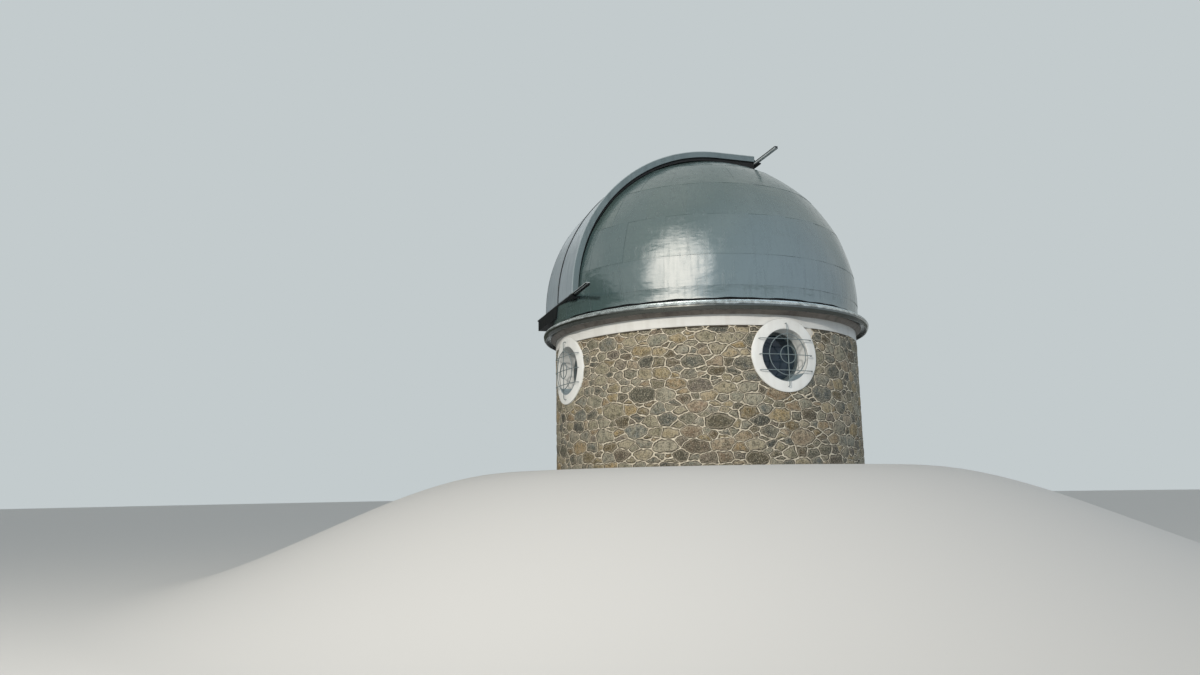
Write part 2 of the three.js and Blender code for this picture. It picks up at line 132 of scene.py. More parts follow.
# %% Sheets and turned sections
def shell(outer, inner):
    """A closed sheet between two grids of points that have the same shape."""
    outer, inner = np.array(outer), np.array(inner)
    rows, columns = outer.shape[:2]
    verts = np.concatenate([outer.reshape(-1, 3), inner.reshape(-1, 3)])
    step = rows * columns
    faces = []
    for i in range(rows - 1):
        for j in range(columns - 1):
            a = i * columns + j
            b = a + columns
            faces.append((a, b, b + 1, a + 1))
            faces.append((a + step, a + 1 + step, b + 1 + step, b + step))
    rim = list(range(columns))
    rim += [i * columns + columns - 1 for i in range(1, rows)]
    rim += [(rows - 1) * columns + j for j in range(columns - 2, -1, -1)]
    rim += [i * columns for i in range(rows - 2, 0, -1)]
    for a, b in zip(rim, rim[1:] + rim[:1]):
        faces.append((a, b, b + step, a + step))
    return verts, faces


def looped(count, parts):
    """The faces of a closed section of count points that is carried round in parts steps."""
    faces = []
    for i in range(parts):
        for j in range(count):
            a, b = i * count + j, ((i + 1) % parts) * count + j
            c, d = ((i + 1) % parts) * count + (j + 1) % count, i * count + (j + 1) % count
            faces.append((a, b, c, d))
    return faces


def turned(profile, steps, lift=None):
    """A closed (radius, height) profile turned about the Z axis. lift moves a point in or out."""
    verts = []
    for i in range(steps):
        angle = TAU * i / steps
        for j, (radius, height) in enumerate(profile):
            r = radius + (lift(angle, j) if lift else 0)
            verts.append((r * math.cos(angle), r * math.sin(angle), height))
    return verts, looped(len(profile), steps)


def gathered(parts):
    """Several (verts, faces) lists as one."""
    verts, faces = [], []
    for part_verts, part_faces in parts:
        start = len(verts)
        verts.extend(tuple(v) for v in part_verts)
        faces.extend(tuple(i + start for i in f) for f in part_faces)
    return verts, faces


print("sheets and turned sections ready")

# %% [markdown]
# ## Finishes
#
# Every finish is a small net of shader nodes. A few short helpers make and join the nodes, so that the
# recipes further down read as lists of colours and values.

# %% Node tools
def join(tree, value, target):
    """Links an output to an input, or sets the input to a plain value."""
    if isinstance(value, bpy.types.NodeSocket):
        tree.links.new(value, target)
    else:
        target.default_value = value


def set_inputs(tree, node, **values):
    """Joins a node's named inputs and gives the node back."""
    for name, value in values.items():
        join(tree, value, node.inputs[name.replace("_", " ").title()])
    return node


def new_node(tree, kind, **values):
    return set_inputs(tree, tree.nodes.new(kind), **values)


def calculated(tree, operation, *values):
    """The result of one math node."""
    node = tree.nodes.new("ShaderNodeMath")
    node.operation = operation
    for k, value in enumerate(values):
        join(tree, value, node.inputs[k])
    return node.outputs["Value"]


def stretched_noise(tree, coordinates, stretch, scale, detail):
    place = new_node(tree, "ShaderNodeMapping", vector=coordinates, scale=stretch).outputs["Vector"]
    return new_node(tree, "ShaderNodeTexNoise", vector=place, scale=scale, detail=detail).outputs["Fac"]


def masked(tree, value, low, high):
    """How far a value has come from low to high, from 0 to 1."""
    return new_node(tree, "ShaderNodeMapRange", value=value, from_min=low, from_max=high).outputs["Result"]


print("node tools ready")

# %% [markdown]
# A few effects come back in most finishes, so each is a shader node group. The first gives soft blotches
# and upright rain streaks, the second fine grain, and the third the long waves of rolled metal. The fourth
# tells how high a point is between two levels; the skirt uses it for painted shade and painted dark
# reflection low down. They put out only masks.
# Every finish keeps its own shader and decides what the masks do to its colour and gloss.

# %% Shared effects
def new_group(name, numbers, masks):
    """A node group with named numbers going in and masks coming out."""
    group = bpy.data.node_groups.new(name, "ShaderNodeTree")
    for label, value in numbers.items():
        made = group.interface.new_socket(label, in_out="INPUT", socket_type="NodeSocketFloat")
        made.default_value = value
    for label in masks:
        group.interface.new_socket(label, in_out="OUTPUT", socket_type="NodeSocketFloat")
    inside = group.nodes.new("NodeGroupInput")
    outside = group.nodes.new("NodeGroupOutput")
    return group, inside, outside, group.nodes.new("ShaderNodeTexCoord").outputs["Object"]


def noise_group(name, layers):
    """Noises in one group. A layer is (number, its value, mask, stretch, detail, limits of the mask)."""
    numbers = {number: value for number, value, *others in layers}
    group, inside, outside, place = new_group(name, numbers, [layer[2] for layer in layers])
    for number, value, mask, stretch, detail, limits in layers:
        made = stretched_noise(group, place, stretch, inside.outputs[number], detail)
        if limits:
            made = masked(group, made, *limits)
        group.links.new(made, outside.inputs[mask])
    return group


weather = noise_group("weather", [("Blotch Scale", 1.5, "Blotches", (1, 1, 1), 4, (0.38, 0.66)),
                                  ("Streak Scale", 5.0, "Streaks", (1, 1, 0.12), 5, (0.46, 0.70))])
grain = noise_group("grain", [("Scale", 40.0, "Grain", (1, 1, 1), 6, None)])
rolled = noise_group("rolled_metal", [("Scale", 3.0, "Waves", (1, 1, 2.6), 2, None)])

# Painted shade: this group darkens low parts by their height alone, standing in for shade and dark
# reflection.
PAINTED_SHADE_WAVER = 0.06
levels = {"Clean Above": 3.1, "Dirty Below": 3.0}
low_painted_shade, inside, outside, place = new_group("low_painted_shade", levels, ["Dirt"])
height = new_node(low_painted_shade, "ShaderNodeSeparateXYZ", vector=place).outputs["Z"]
uneven = stretched_noise(low_painted_shade, place, (1, 1, 1.5), 6.0, 3)
reach = new_node(low_painted_shade, "ShaderNodeMapRange", from_min=inside.outputs["Clean Above"],
                 from_max=inside.outputs["Dirty Below"],
                 value=calculated(low_painted_shade, "MULTIPLY_ADD", uneven, PAINTED_SHADE_WAVER, height))
reach.interpolation_type = "SMOOTHSTEP"
low_painted_shade.links.new(reach.outputs["Result"], outside.inputs["Dirt"])
print("node groups:", [group.name for group in (weather, grain, rolled, low_painted_shade)])

# %% [markdown]
# A finish starts from a base colour, mixes in a second colour where the streaks and blotches lie, and takes
# its roughness and bump from the same masks. One function makes this common part, so each finish below is
# only a short list of its own colours and values.

# %% Colour and bump
def new_material(name):
    """A material, its node tree and its shader."""
    material = bpy.data.materials.new(name)
    material.use_nodes = True
    return material, material.node_tree, material.node_tree.nodes["Principled BSDF"]


def mix_colour(tree, mask, a, b, amount=1.0):
    """Colour b over colour a, as far as the mask and the amount say."""
    mix = tree.nodes.new("ShaderNodeMix")
    mix.data_type = "RGBA"
    tree.links.new(calculated(tree, "MULTIPLY", mask, amount), mix.inputs["Factor"])
    for name, value in (("A", a), ("B", b)):
        target = [s for s in mix.inputs if s.name == name and s.type == "RGBA"][0]
        join(tree, (*value, 1) if isinstance(value, tuple) else value, target)
    return [s for s in mix.outputs if s.type == "RGBA"][0]


def layered(tree, colour, layers):
    """A colour with others laid over it. A layer is (mask, colour, amount)."""
    for mask, over, amount in layers:
        colour = mix_colour(tree, mask, colour, over, amount)
    return colour


def placed_group(tree, group, **values):
    """The outputs of a node group that is placed in a material."""
    made = tree.nodes.new("ShaderNodeGroup")
    made.node_tree = group
    return set_inputs(tree, made, **values).outputs


def face_number(tree, name):
    number = tree.nodes.new("ShaderNodeAttribute")
    number.attribute_name = name
    return number.outputs["Fac"]


def raised(tree, height, strength, distance, **under):
    """The normal of a bump. It can lie on another normal."""
    bump = new_node(tree, "ShaderNodeBump", height=height, strength=strength, distance=distance, **under)
    return bump.outputs["Normal"]


print("colour and bump ready")

# %% Finish maker
COAT_ROUGHNESS = 0.12


def finish(name, base, streaks, blotches, roughness, metallic=0.0, coat=0.0, bump=(0.12, 0.002),
           grain_scale=40.0, blotch_scale=1.5, streak_scale=5.0, tone=None, dirt=None, waves=None,
           roughness_spread=0.12, ior=1.5):
    """A weathered finish. streaks, blotches and tone are (colour, amount), and tone goes by the faces'
    own number. dirt is (colour, amount, unshaded above, shaded below): painted shade and
    painted dark reflection, laid over the low part by height. bump is (strength, distance) of the grain,
    and waves is (scale, distance) of the long dents in rolled metal."""
    material, tree, shader = new_material(name)
    marks = placed_group(tree, weather, blotch_scale=blotch_scale, streak_scale=streak_scale)
    layers = [(marks["Blotches"], *blotches), (marks["Streaks"], *streaks)]
    if tone:
        layers.append((face_number(tree, "tone"), *tone))
    if dirt:
        low = placed_group(tree, low_painted_shade, clean_above=dirt[2], dirty_below=dirt[3])
        layers.append((low["Dirt"], *dirt[:2]))
    under = {}
    if waves:
        under["normal"] = raised(tree, placed_group(tree, rolled, scale=waves[0])["Waves"], 1.0, waves[1])
    fine = placed_group(tree, grain, scale=grain_scale)["Grain"]
    gloss = new_node(tree, "ShaderNodeMapRange", value=marks["Streaks"], to_min=roughness,
                     to_max=roughness + roughness_spread)
    set_inputs(tree, shader, base_color=layered(tree, base, layers), metallic=metallic,
               roughness=gloss.outputs["Result"], coat_weight=coat, coat_roughness=COAT_ROUGHNESS,
               normal=raised(tree, fine, *bump, **under))
    shader.inputs["IOR"].default_value = ior
    return material


print("finish maker ready")

# %% Plaster, lime and concrete
plaster = finish("lime_plaster", (0.625, 0.632, 0.612), ((0.46, 0.45, 0.42), 0.30),
                 ((0.68, 0.69, 0.67), 0.5), 0.80, bump=(0.35, 0.004), grain_scale=60, streak_scale=7)
limewash = finish("limewash", (0.705, 0.720, 0.705), ((0.52, 0.51, 0.48), 0.28),
                  ((0.75, 0.765, 0.75), 0.5), 0.80, bump=(0.3, 0.004), grain_scale=60, streak_scale=7)
pointing = finish("lime_pointing", (0.54, 0.49, 0.385), ((0.22, 0.18, 0.12), 0.50),
                  ((0.68, 0.63, 0.51), 0.8), 0.9, bump=(1.0, 0.020), blotch_scale=9, streak_scale=17)
# Painted shadow: a near-black lime for the joint strip under the plaster band, where the band's shadow
# falls.
painted_shadow_joint = finish("painted_shadow_joint", (0.070, 0.058, 0.042), ((0.12, 0.10, 0.07), 0.6),
                    ((0.05, 0.045, 0.035), 0.5), 0.9, bump=(0.7, 0.006), grain_scale=60, streak_scale=12)
whitewash = finish("whitewashed_stone", (0.60, 0.58, 0.53), ((0.50, 0.48, 0.43), 0.3),
                   ((0.66, 0.64, 0.60), 0.5), 0.85, bump=(0.7, 0.02), grain_scale=9)
concrete = finish("floor_concrete", (0.30, 0.29, 0.27), ((0.24, 0.23, 0.22), 0.2),
                  ((0.36, 0.35, 0.33), 0.6), 0.8, bump=(0.4, 0.003), grain_scale=70)
print("finishes so far:", len(bpy.data.materials))

# %% Paint, metal and rubber
flashing = finish("flashing_paint", (0.150, 0.135, 0.120), ((0.07, 0.06, 0.055), 0.5),
                  ((0.24, 0.215, 0.19), 0.6), 0.45, metallic=0.2, bump=(0.15, 0.002), grain_scale=80,
                  streak_scale=10)
# Painted shade and painted dark reflection: the last colour darkens the skirt's low part by height alone.
skirt_metal = finish("skirt_paint", (0.72, 0.77, 0.77), ((0.22, 0.24, 0.23), 0.45),
                     ((0.84, 0.88, 0.88), 0.5), 0.17, metallic=0.85, bump=(0.10, 0.002), grain_scale=18,
                     streak_scale=9, dirt=((0.075, 0.080, 0.071), 0.96, 3.170, 3.120), waves=(3.5, 0.003))
dome_paint = finish("dome_paint", (0.060, 0.096, 0.093), ((0.040, 0.063, 0.064), 0.45),
                    ((0.075, 0.113, 0.106), 0.6), 0.17, metallic=0.15, grain_scale=12, streak_scale=12,
                    tone=((0.052, 0.090, 0.102), 0.5), waves=(3.0, 0.0062), roughness_spread=0.16, ior=2.2)
shutter_paint = finish("shutter_paint", (0.300, 0.360, 0.410), ((0.200, 0.250, 0.285), 0.5),
                       ((0.365, 0.425, 0.480), 0.55), 0.34, coat=0.2, grain_scale=16, streak_scale=9)
# Painted shade: the flange is the shutters' paint made darker, because its side face lies in shade.
flange_painted_shade = finish("flange_painted_shade", (0.095, 0.131, 0.140), ((0.060, 0.084, 0.090), 0.5),
                      ((0.120, 0.155, 0.162), 0.5), 0.40, coat=0.15, grain_scale=18, streak_scale=9)
bead_paint = finish("bead_paint", (0.25, 0.30, 0.31), ((0.16, 0.19, 0.20), 0.4), ((0.30, 0.35, 0.36), 0.5),
                    0.35, grain_scale=30, streak_scale=12)
rail_paint = finish("rail_paint", (0.36, 0.41, 0.43), ((0.20, 0.21, 0.20), 0.40), ((0.44, 0.49, 0.51), 0.5),
                    0.38, coat=0.1, bump=(0.12, 0.001), blotch_scale=3, streak_scale=14)
dark_steel = finish("dark_steel", (0.007, 0.009, 0.011), ((0.018, 0.016, 0.014), 0.4),
                    ((0.011, 0.013, 0.015), 0.5), 0.5, bump=(0.3, 0.001), grain_scale=120,
                    blotch_scale=6, streak_scale=14, ior=1.22)
bar_paint = finish("window_bar_paint", (0.13, 0.17, 0.18), ((0.07, 0.08, 0.08), 0.4),
                   ((0.19, 0.23, 0.24), 0.5), 0.45, bump=(0.2, 0.001), grain_scale=150, blotch_scale=9,
                   streak_scale=20)
frame_paint = finish("window_frame_paint", (0.060, 0.080, 0.085), ((0.04, 0.05, 0.05), 0.3),
                     ((0.08, 0.10, 0.10), 0.5), 0.4, bump=(0.15, 0.001), grain_scale=120)
sill_paint = finish("sill_paint", (0.27, 0.35, 0.39), ((0.16, 0.20, 0.22), 0.4), ((0.34, 0.42, 0.46), 0.5),
                    0.4, bump=(0.1, 0.001), grain_scale=60, streak_scale=14)
seal_rubber = finish("seal_rubber", (0.008, 0.009, 0.010), ((0.020, 0.021, 0.021), 0.4),
                     ((0.012, 0.013, 0.014), 0.6), 0.85, bump=(0.3, 0.001), grain_scale=90)
print("finishes:", len(bpy.data.materials))

# %% [markdown]
# Rubble stone needs more than two colours. Each stone carries one random number, called tone, which a
# colour ramp turns into tan, ochre, grey-green or blue-grey. Noise of several sizes then mottles it, as real
# field stones are. Another number, shade, makes some stones darker and some paler. A third, rim, marks the
# faces along the joint, where lime is smeared, and where a near-black layer is painted shade in the groove
# beside the joint.

# %% Stone and glass
STONE_TONES = [(0.0, (0.080, 0.088, 0.080)), (0.12, (0.125, 0.142, 0.135)),
               (0.26, (0.190, 0.208, 0.185)), (0.40, (0.235, 0.228, 0.165)),
               (0.54, (0.275, 0.232, 0.140)), (0.66, (0.345, 0.245, 0.105)),
               (0.76, (0.240, 0.170, 0.100)), (0.88, (0.290, 0.215, 0.150)),
               (1.0, (0.165, 0.140, 0.120))]


def stone_material():
    """Rubble stone. Each layer lies where its mask is bright, and the last one lies on top."""
    material, tree, shader = new_material("rubble_stone")
    ramp = new_node(tree, "ShaderNodeValToRGB", fac=face_number(tree, "tone"))
    stops = ramp.color_ramp.elements
    stops.remove(stops[1])
    stops[0].color = (*STONE_TONES[0][1], 1)
    for position, colour in STONE_TONES[1:]:
        stops.new(position).color = (*colour, 1)
    marks = placed_group(tree, weather, blotch_scale=7.0, streak_scale=15.0)
    fine = placed_group(tree, grain, scale=42.0)["Grain"]
    coarse = placed_group(tree, grain, scale=13.0)["Grain"]
    shade = face_number(tree, "shade")
    rim = face_number(tree, "rim")
    dark, pale = masked(tree, shade, 0.55, 0.95), masked(tree, shade, 0.40, 0.0)
    lime_smears = calculated(tree, "MULTIPLY", masked(tree, rim, 0.15, 0.25), masked(tree, fine, 0.49, 0.54))
    speckles, chips = masked(tree, fine, 0.54, 0.62), masked(tree, fine, 0.45, 0.38)
    layers = [(marks["Blotches"], (0.46, 0.41, 0.29), 0.42),
              (marks["Streaks"], (0.075, 0.060, 0.036), 0.45),
              (dark, (0.036, 0.039, 0.035), 0.76),
              (pale, (0.420, 0.380, 0.285), 0.50),
              (masked(tree, coarse, 0.50, 0.62), (0.070, 0.068, 0.048), 0.58),
              (lime_smears, (0.48, 0.43, 0.33), 0.75),
              (speckles, (0.030, 0.027, 0.022), 0.62),
              (chips, (0.50, 0.46, 0.36), 0.45),
              # Painted shade: the faces next to the joint are darkened, standing in for the shade in the
              # groove.
              (masked(tree, rim, 0.45, 0.95), (0.018, 0.015, 0.011), 0.94)]
    set_inputs(tree, shader, base_color=layered(tree, ramp.outputs["Color"], layers), roughness=0.88,
               normal=raised(tree, fine, 1.0, 0.030))
    return material


def glass_material():
    material, tree, shader = new_material("window_glass")
    marks = placed_group(tree, weather, blotch_scale=2.5, streak_scale=8.0)
    # Painted shade: the pane is near-black and lets little light through, standing in for the unlit room
    # behind it.
    colour = mix_colour(tree, marks["Blotches"], (0.008, 0.018, 0.030), (0.015, 0.032, 0.046))
    set_inputs(tree, shader, base_color=colour, roughness=0.05, transmission_weight=0.15)
    shader.inputs["IOR"].default_value = 1.38
    return material


stone = stone_material()
glass = glass_material()
print("stone and glass ready")

# %% [markdown]
# ## The rubble wall
#
# Field stones of very different sizes lie in rough level beds, with lime between them, and here the joints
# stand proud as a pale ribbon. The layout starts from discs of several sizes, thrown on the unrolled wall
# without touching and drawn a little towards level beds. Each disc grows into a cell whose borders lie
# between it and its neighbours, weighted by size. The cells are the stones, and the borders are the middle
# of the joints, so the whole skin is one closed mesh with no gaps.

# %% Stone layout
WALL_LENGTH = TAU * DRUM_RADIUS
STRETCH = 1.70
SQUEEZED_LENGTH = WALL_LENGTH / STRETCH
BED_HEIGHT = 0.230
SMALL_DISC = 0.06
BED_PULL = 0.6
SMALL_PULL = 0.15
OVERSHOOT = 0.08
CLOSENESS = 0.97
DISC_SIZES = [(0.165, 26), (0.138, 130), (0.112, 430), (0.090, 1500), (0.070, 3200), (0.052, 6500),
              (0.037, 9000)]
rng = np.random.default_rng(29)


def to_bed(along, up, radius):
    """Draws a stone's middle towards the nearest of the wavy level beds."""
    wave = 0.05 * math.sin(along * 0.9) + 0.03 * math.sin(along * 2.3 + 1)
    nearest = round((up - wave) / BED_HEIGHT) * BED_HEIGHT + wave
    return up + (nearest - up) * (BED_PULL if radius > SMALL_DISC else SMALL_PULL)


def thrown_discs():
    """Discs of falling size on the unrolled wall, in a plane squeezed along the wall."""
    area = (SQUEEZED_LENGTH, STONE_TOP + 2 * OVERSHOOT)
    placed = np.zeros((0, 3))
    for radius, tries in DISC_SIZES:
        for along, up in rng.random((tries, 2)) * area - (0, OVERSHOOT):
            up = to_bed(along, up, radius)
            gap = np.abs(placed[:, 0] - along)
            far = np.hypot(np.minimum(gap, SQUEEZED_LENGTH - gap), placed[:, 1] - up)
            if (far > (placed[:, 2] + radius) * CLOSENESS).all():
                placed = np.vstack([placed, (along, up, radius)])
    return placed


discs = thrown_discs()
print("discs thrown:", len(discs))

# %% Stone cells
CELL_REACH = 0.7
CORNERS = ((-1, -1), (1, -1), (1, 1), (-1, 1))
NEIGHBOURS = 24
TOP_GAP = 0.003


def clipped(polygon, point, normal):
    """The part of a polygon on the side of a line that its normal points away from."""
    result = []
    depth = [(q - point) @ normal for q in polygon]
    for k, q in enumerate(polygon):
        following = (k + 1) % len(polygon)
        if depth[k] <= 0:
            result.append(q)
        if (depth[k] < 0) != (depth[following] < 0) and depth[k] != depth[following]:
            share = depth[k] / (depth[k] - depth[following])
            result.append(q + (polygon[following] - q) * share)
    return result


def wrapped(value, length):
    """A distance round the drum, taken the short way."""
    return (value + length / 2) % length - length / 2


def stone_cells():
    """One polygon (along, up) in metres for each disc."""
    cells = []
    for x, y, r in discs:
        cell = [np.array((x + i * CELL_REACH, y + j * CELL_REACH)) for i, j in CORNERS]
        shift = wrapped(discs[:, 0] - x, SQUEEZED_LENGTH)
        away = np.hypot(shift, discs[:, 1] - y)
        for k in np.argsort(away)[1:NEIGHBOURS]:
            d = away[k]
            direction = np.array([shift[k], discs[k, 1] - y]) / d
            middle = (d * d + r * r - discs[k, 2] ** 2) / (2 * d)
            cell = clipped(cell, np.array([x, y]) + direction * middle, direction)
        cell = clipped(cell, np.array([0, 0.0]), np.array([0, -1.0]))
        cell = clipped(cell, np.array([0, STONE_TOP - TOP_GAP]), np.array([0, 1.0]))
        if len(cell) > 2:
            cells.append(np.array(cell) * (STRETCH, 1))
    return cells


cells = stone_cells()
print("stones laid:", len(cells))

# %% [markdown]
# Stones stop at a circle behind each window's plaster ring. A cell that reaches the circle is cut by the
# tangent that faces its middle. The small gap this leaves is hidden, because the plaster ring covers it.

# %% Room for the windows
CLEAR_CIRCLE = 0.620
CIRCLE_EASE = 0.02
WINDOW_REACH = 1.3
LEAST_AREA = 0.0012


def kept_clear(cell):
    """The part of a stone that lies outside the windows' circles, or None."""
    for degrees in SIDES.values():
        centre = cell.mean(0)
        shift = wrapped(centre[0] - math.radians(degrees) * DRUM_RADIUS, WALL_LENGTH)
        toward = np.array([shift, centre[1] - WINDOW_HEIGHT])
        distance = np.hypot(*toward)
        if distance > WINDOW_REACH:
            continue
        if distance < CLEAR_CIRCLE - CIRCLE_EASE:
            return None
        toward /= distance
        here = centre - toward * distance
        cell = clipped(list(cell), here + toward * CLEAR_CIRCLE, -toward)
        if len(cell) < 3:
            return None
        cell = np.array(cell)
    return cell


def area_of(cell):
    x, y = cell[:, 0], cell[:, 1]
    return abs(x @ np.roll(y, -1) - y @ np.roll(x, -1)) / 2


cells = [c for c in (kept_clear(cell) for cell in cells) if c is not None and area_of(c) > LEAST_AREA]
print("stones kept:", len(cells))

# %% [markdown]
# Each stone is a stack of rings. The outermost ring runs along the middle of the joint and is shared with
# the neighbours. The next rings make the raised ribbon and its drop, and the last ones swell into the
# stone's face. A little smoothing of the inner rings eases the corners, as on weathered stone. No ring
# moves further in than the stone has room for, so a thin sliver doesn't fold over itself.

# %% Stone outlines
SKIN_BASE = 3.4315
SKIN_BACK = 3.4250
SKIN_LIMIT = 0.022
RINGS = [(0.000, 0.0130), (0.0105, 0.0120), (0.0170, 0.0003), (0.029, 0.0078), (0.055, 0.0108)]
OUTLINE_STEP = 0.030
SHORTEST_SIDE = 2e-4
WAVER = (0.0065, 0.0060)
WAVER_FADE = 0.050
UNDER_BAND = STONE_TOP - 0.004
LOW_JOINT = 0.001


def wavered(along, up):
    """The point moved a little, so the joints don't run straight. The rise fades at the foot and the top."""
    turn = along / WALL_LENGTH * TAU
    fade = min(max(min(up, STONE_TOP - up) / WAVER_FADE, 0.0), 1.0)
    a = math.sin(turn * 97 + up * 31) + math.sin(turn * 211 - up * 67 + 1.3) + math.sin(turn * 53 + up * 19)
    b = math.cos(turn * 89 - up * 61 + 0.7) + math.cos(turn * 183 + up * 79) + math.cos(turn * 61 - up * 11)
    return along + WAVER[0] * a, up + WAVER[1] * b * fade


def mottle(point, scale, layer):
    """Smooth noise over the unrolled wall, from -1 to 1."""
    return noise.noise(Vector((point[0] * scale, point[1] * scale, layer)))


def lime_height(up):
    """The joint stands proud, apart from the shadow gap under the plaster band."""
    return LOW_JOINT if up > UNDER_BAND else RINGS[0][1]


def square_to(steps):
    """Unit vectors square to the given ones, on their right."""
    right = np.stack([steps[:, 1], -steps[:, 0]], 1)
    return right / np.maximum(np.hypot(right[:, 0], right[:, 1]), 1e-9)[:, None]


def room_inside(outline, inward, corners):
    """How far each point of the outline can move inwards before it meets another side of the stone."""
    outward = square_to(np.roll(corners, -1, 0) - corners)
    depth = ((corners[None] - outline[:, None]) * outward[None]).sum(2)
    speed = inward @ outward.T
    steps = np.where(speed > 1e-3, depth / np.maximum(speed, 1e-3), 9.0)
    return np.maximum(steps.min(1), 0.0)


def outline_of(cell):
    """Points along a stone's outline. Neighbours get the same points on the side that they share."""
    corners = np.round(cell, 4)
    outline = []
    for a, b in zip(corners, np.roll(corners, -1, 0)):
        length = np.hypot(*(b - a))
        if length < SHORTEST_SIDE:
            continue
        parts = max(1, int(round(length / OUTLINE_STEP)))
        first, last = (a, b) if tuple(a) < tuple(b) else (b, a)
        points = [first + (last - first) * i / parts for i in range(parts + 1)]
        if tuple(a) > tuple(b):
            points.reverse()
        outline.extend(points[:-1])
    return np.array(outline)


print("rings of a stone:", len(RINGS))

# %% Stone skin
# How near each ring lies to the joint. It places the lime smears and the painted shade in the groove.
RIMS = (0.0, 1.0, 0.7, 0.3)
STONE, LIME, PAINTED_SHADOW_LIME = 0, 1, 2
REACH_SHARE = 0.62
ROOM_SHARE = 0.42
SWELLS = (0.001, 0.009)
STONE_LEANS = (0.07, 0.12)
WIDTHS = (0.55, 0.60)
WIDTH_WAVER = 0.9
WIDE_UNDER_BAND = 1.9
RELIEF = 0.0025


class StoneSkin:
    """One stretch of the wall's skin, built stone by stone."""

    def __init__(self):
        self.verts, self.faces, self.finishes = [], [], []
        self.numbers = {"tone": [], "rim": [], "shade": []}
        self.tone = self.shade = 0.5
        self.shared, self.border = {}, {}

    def add_vertex(self, along, up, radius):
        angle = along / DRUM_RADIUS
        self.verts.append((radius * math.cos(angle), radius * math.sin(angle), up))
        return len(self.verts) - 1

    def joint_vertex(self, along, up, radius):
        """A vertex that neighbouring stones share."""
        key = (round((along % WALL_LENGTH) * 1e4) % round(WALL_LENGTH * 1e4), round(up * 1e4), radius)
        if key not in self.shared:
            self.shared[key] = self.add_vertex(*wavered(along, up), radius)
        return self.shared[key]

    def add_face(self, face, finish_index, rim=0.0):
        if len(set(face)) > 2:
            self.faces.append(face)
            self.finishes.append(finish_index)
            for label, value in (("tone", self.tone), ("rim", rim), ("shade", self.shade)):
                self.numbers[label].append(value)

    def add_stone(self, cell, tone):
        """Adds a stone with its share of the joints, its face and its back."""
        outline = outline_of(cell)
        middle = outline.mean(0)
        count = len(outline)
        inward = square_to(np.roll(outline, 1, 0) - np.roll(outline, -1, 0))
        reach = np.hypot(*(outline - middle).T)
        furthest = np.minimum(reach * REACH_SHARE, room_inside(outline, inward, cell) * ROOM_SHARE)
        swell = SWELLS[0] + SWELLS[1] * rng.random()
        lean = (rng.random(2) - 0.5) * STONE_LEANS
        width = WIDTHS[0] + WIDTHS[1] * rng.random()
        self.tone = tone
        self.shade = rng.random()
        wide = np.array([width * (1 + WIDTH_WAVER * mottle(p, 17, 7)) for p in outline])
        # Under the band the joint strip is made wide, to carry the painted shadow line.
        wide[outline[:, 1] > UNDER_BAND] = WIDE_UNDER_BAND
        loops = [[self.joint_vertex(*p, SKIN_BASE + lime_height(p[1])) for p in outline]]
        for level, (inset, height) in enumerate(RINGS[1:], 1):
            ring = outline + inward * np.minimum(inset * wide, furthest)[:, None]
            for turn in range(1 if level < 4 else 2):
                ring = ring * 0.6 + (np.roll(ring, 1, 0) + np.roll(ring, -1, 0)) * 0.2
            loop = []
            for p in ring:
                h = height
                if level > 2:
                    h += (swell if level == 4 else swell * 0.5) + float((p - middle) @ lean)
                    h += RELIEF * mottle(p, 14, level)
                    h = min(max(h, 0.001), SKIN_LIMIT - 0.001)
                loop.append(self.add_vertex(*wavered(*p), SKIN_BASE + h))
            loops.append(loop)
        for level, (a, b) in enumerate(zip(loops, loops[1:])):
            for k in range(count):
                n = (k + 1) % count
                # Under the plaster band the joint gets the near-black lime: a painted shadow line.
                lime = PAINTED_SHADOW_LIME if min(outline[k][1], outline[n][1]) > UNDER_BAND else LIME
                self.add_face((a[k], a[n], b[n], b[k]), STONE if level else lime, RIMS[level])
        crown = self.add_vertex(*middle, SKIN_BASE + min(RINGS[4][1] + swell * 1.2, SKIN_LIMIT))
        for k in range(count):
            self.add_face((loops[-1][k], loops[-1][(k + 1) % count], crown), STONE)
        back = [self.joint_vertex(*p, SKIN_BACK) for p in outline]
        self.add_face(tuple(reversed(back)), LIME)
        for k in range(count):
            n = (k + 1) % count
            here, twin = (loops[0][k], loops[0][n]), (loops[0][n], loops[0][k])
            if twin in self.border:
                del self.border[twin]
            else:
                self.border[here] = (back[k], back[n])

    def closed(self):
        """Closes the edge round the whole stretch."""
        for (a, b), (c, d) in self.border.items():
            self.add_face((b, a, c, d), LIME)


print("limit of the skin:", SKIN_LIMIT, "m")

# %% [markdown]
# The skin is made in eight stretches round the wall, so no single mesh gets too heavy. A stone belongs to
# the stretch where its middle lies. Its random tone gives the wall its mix of colours.

# %% Stretches of the wall
STRETCH_NAMES = ["right", "front_right", "front", "front_left", "left", "rear_left", "rear", "rear_right"]
TONE_MIDDLE = 0.46
TONE_SPREAD = 0.29


def add_numbers(piece, label, numbers):
    """Gives each face of a piece its own number, which a finish can read."""
    piece.data.attributes.new(label, "FLOAT", "FACE").data.foreach_set("value", numbers)


skins = {}
for cell in cells:
    angle = (math.degrees(cell.mean(0)[0] / DRUM_RADIUS) - SIDES["right"]) % 360
    key = STRETCH_NAMES[int(((360 - angle) % 360 + 22.5) // 45) % 8]
    tone = float(np.clip(rng.normal(TONE_MIDDLE, TONE_SPREAD), 0, 1))
    skins.setdefault(key, StoneSkin()).add_stone(cell, tone)

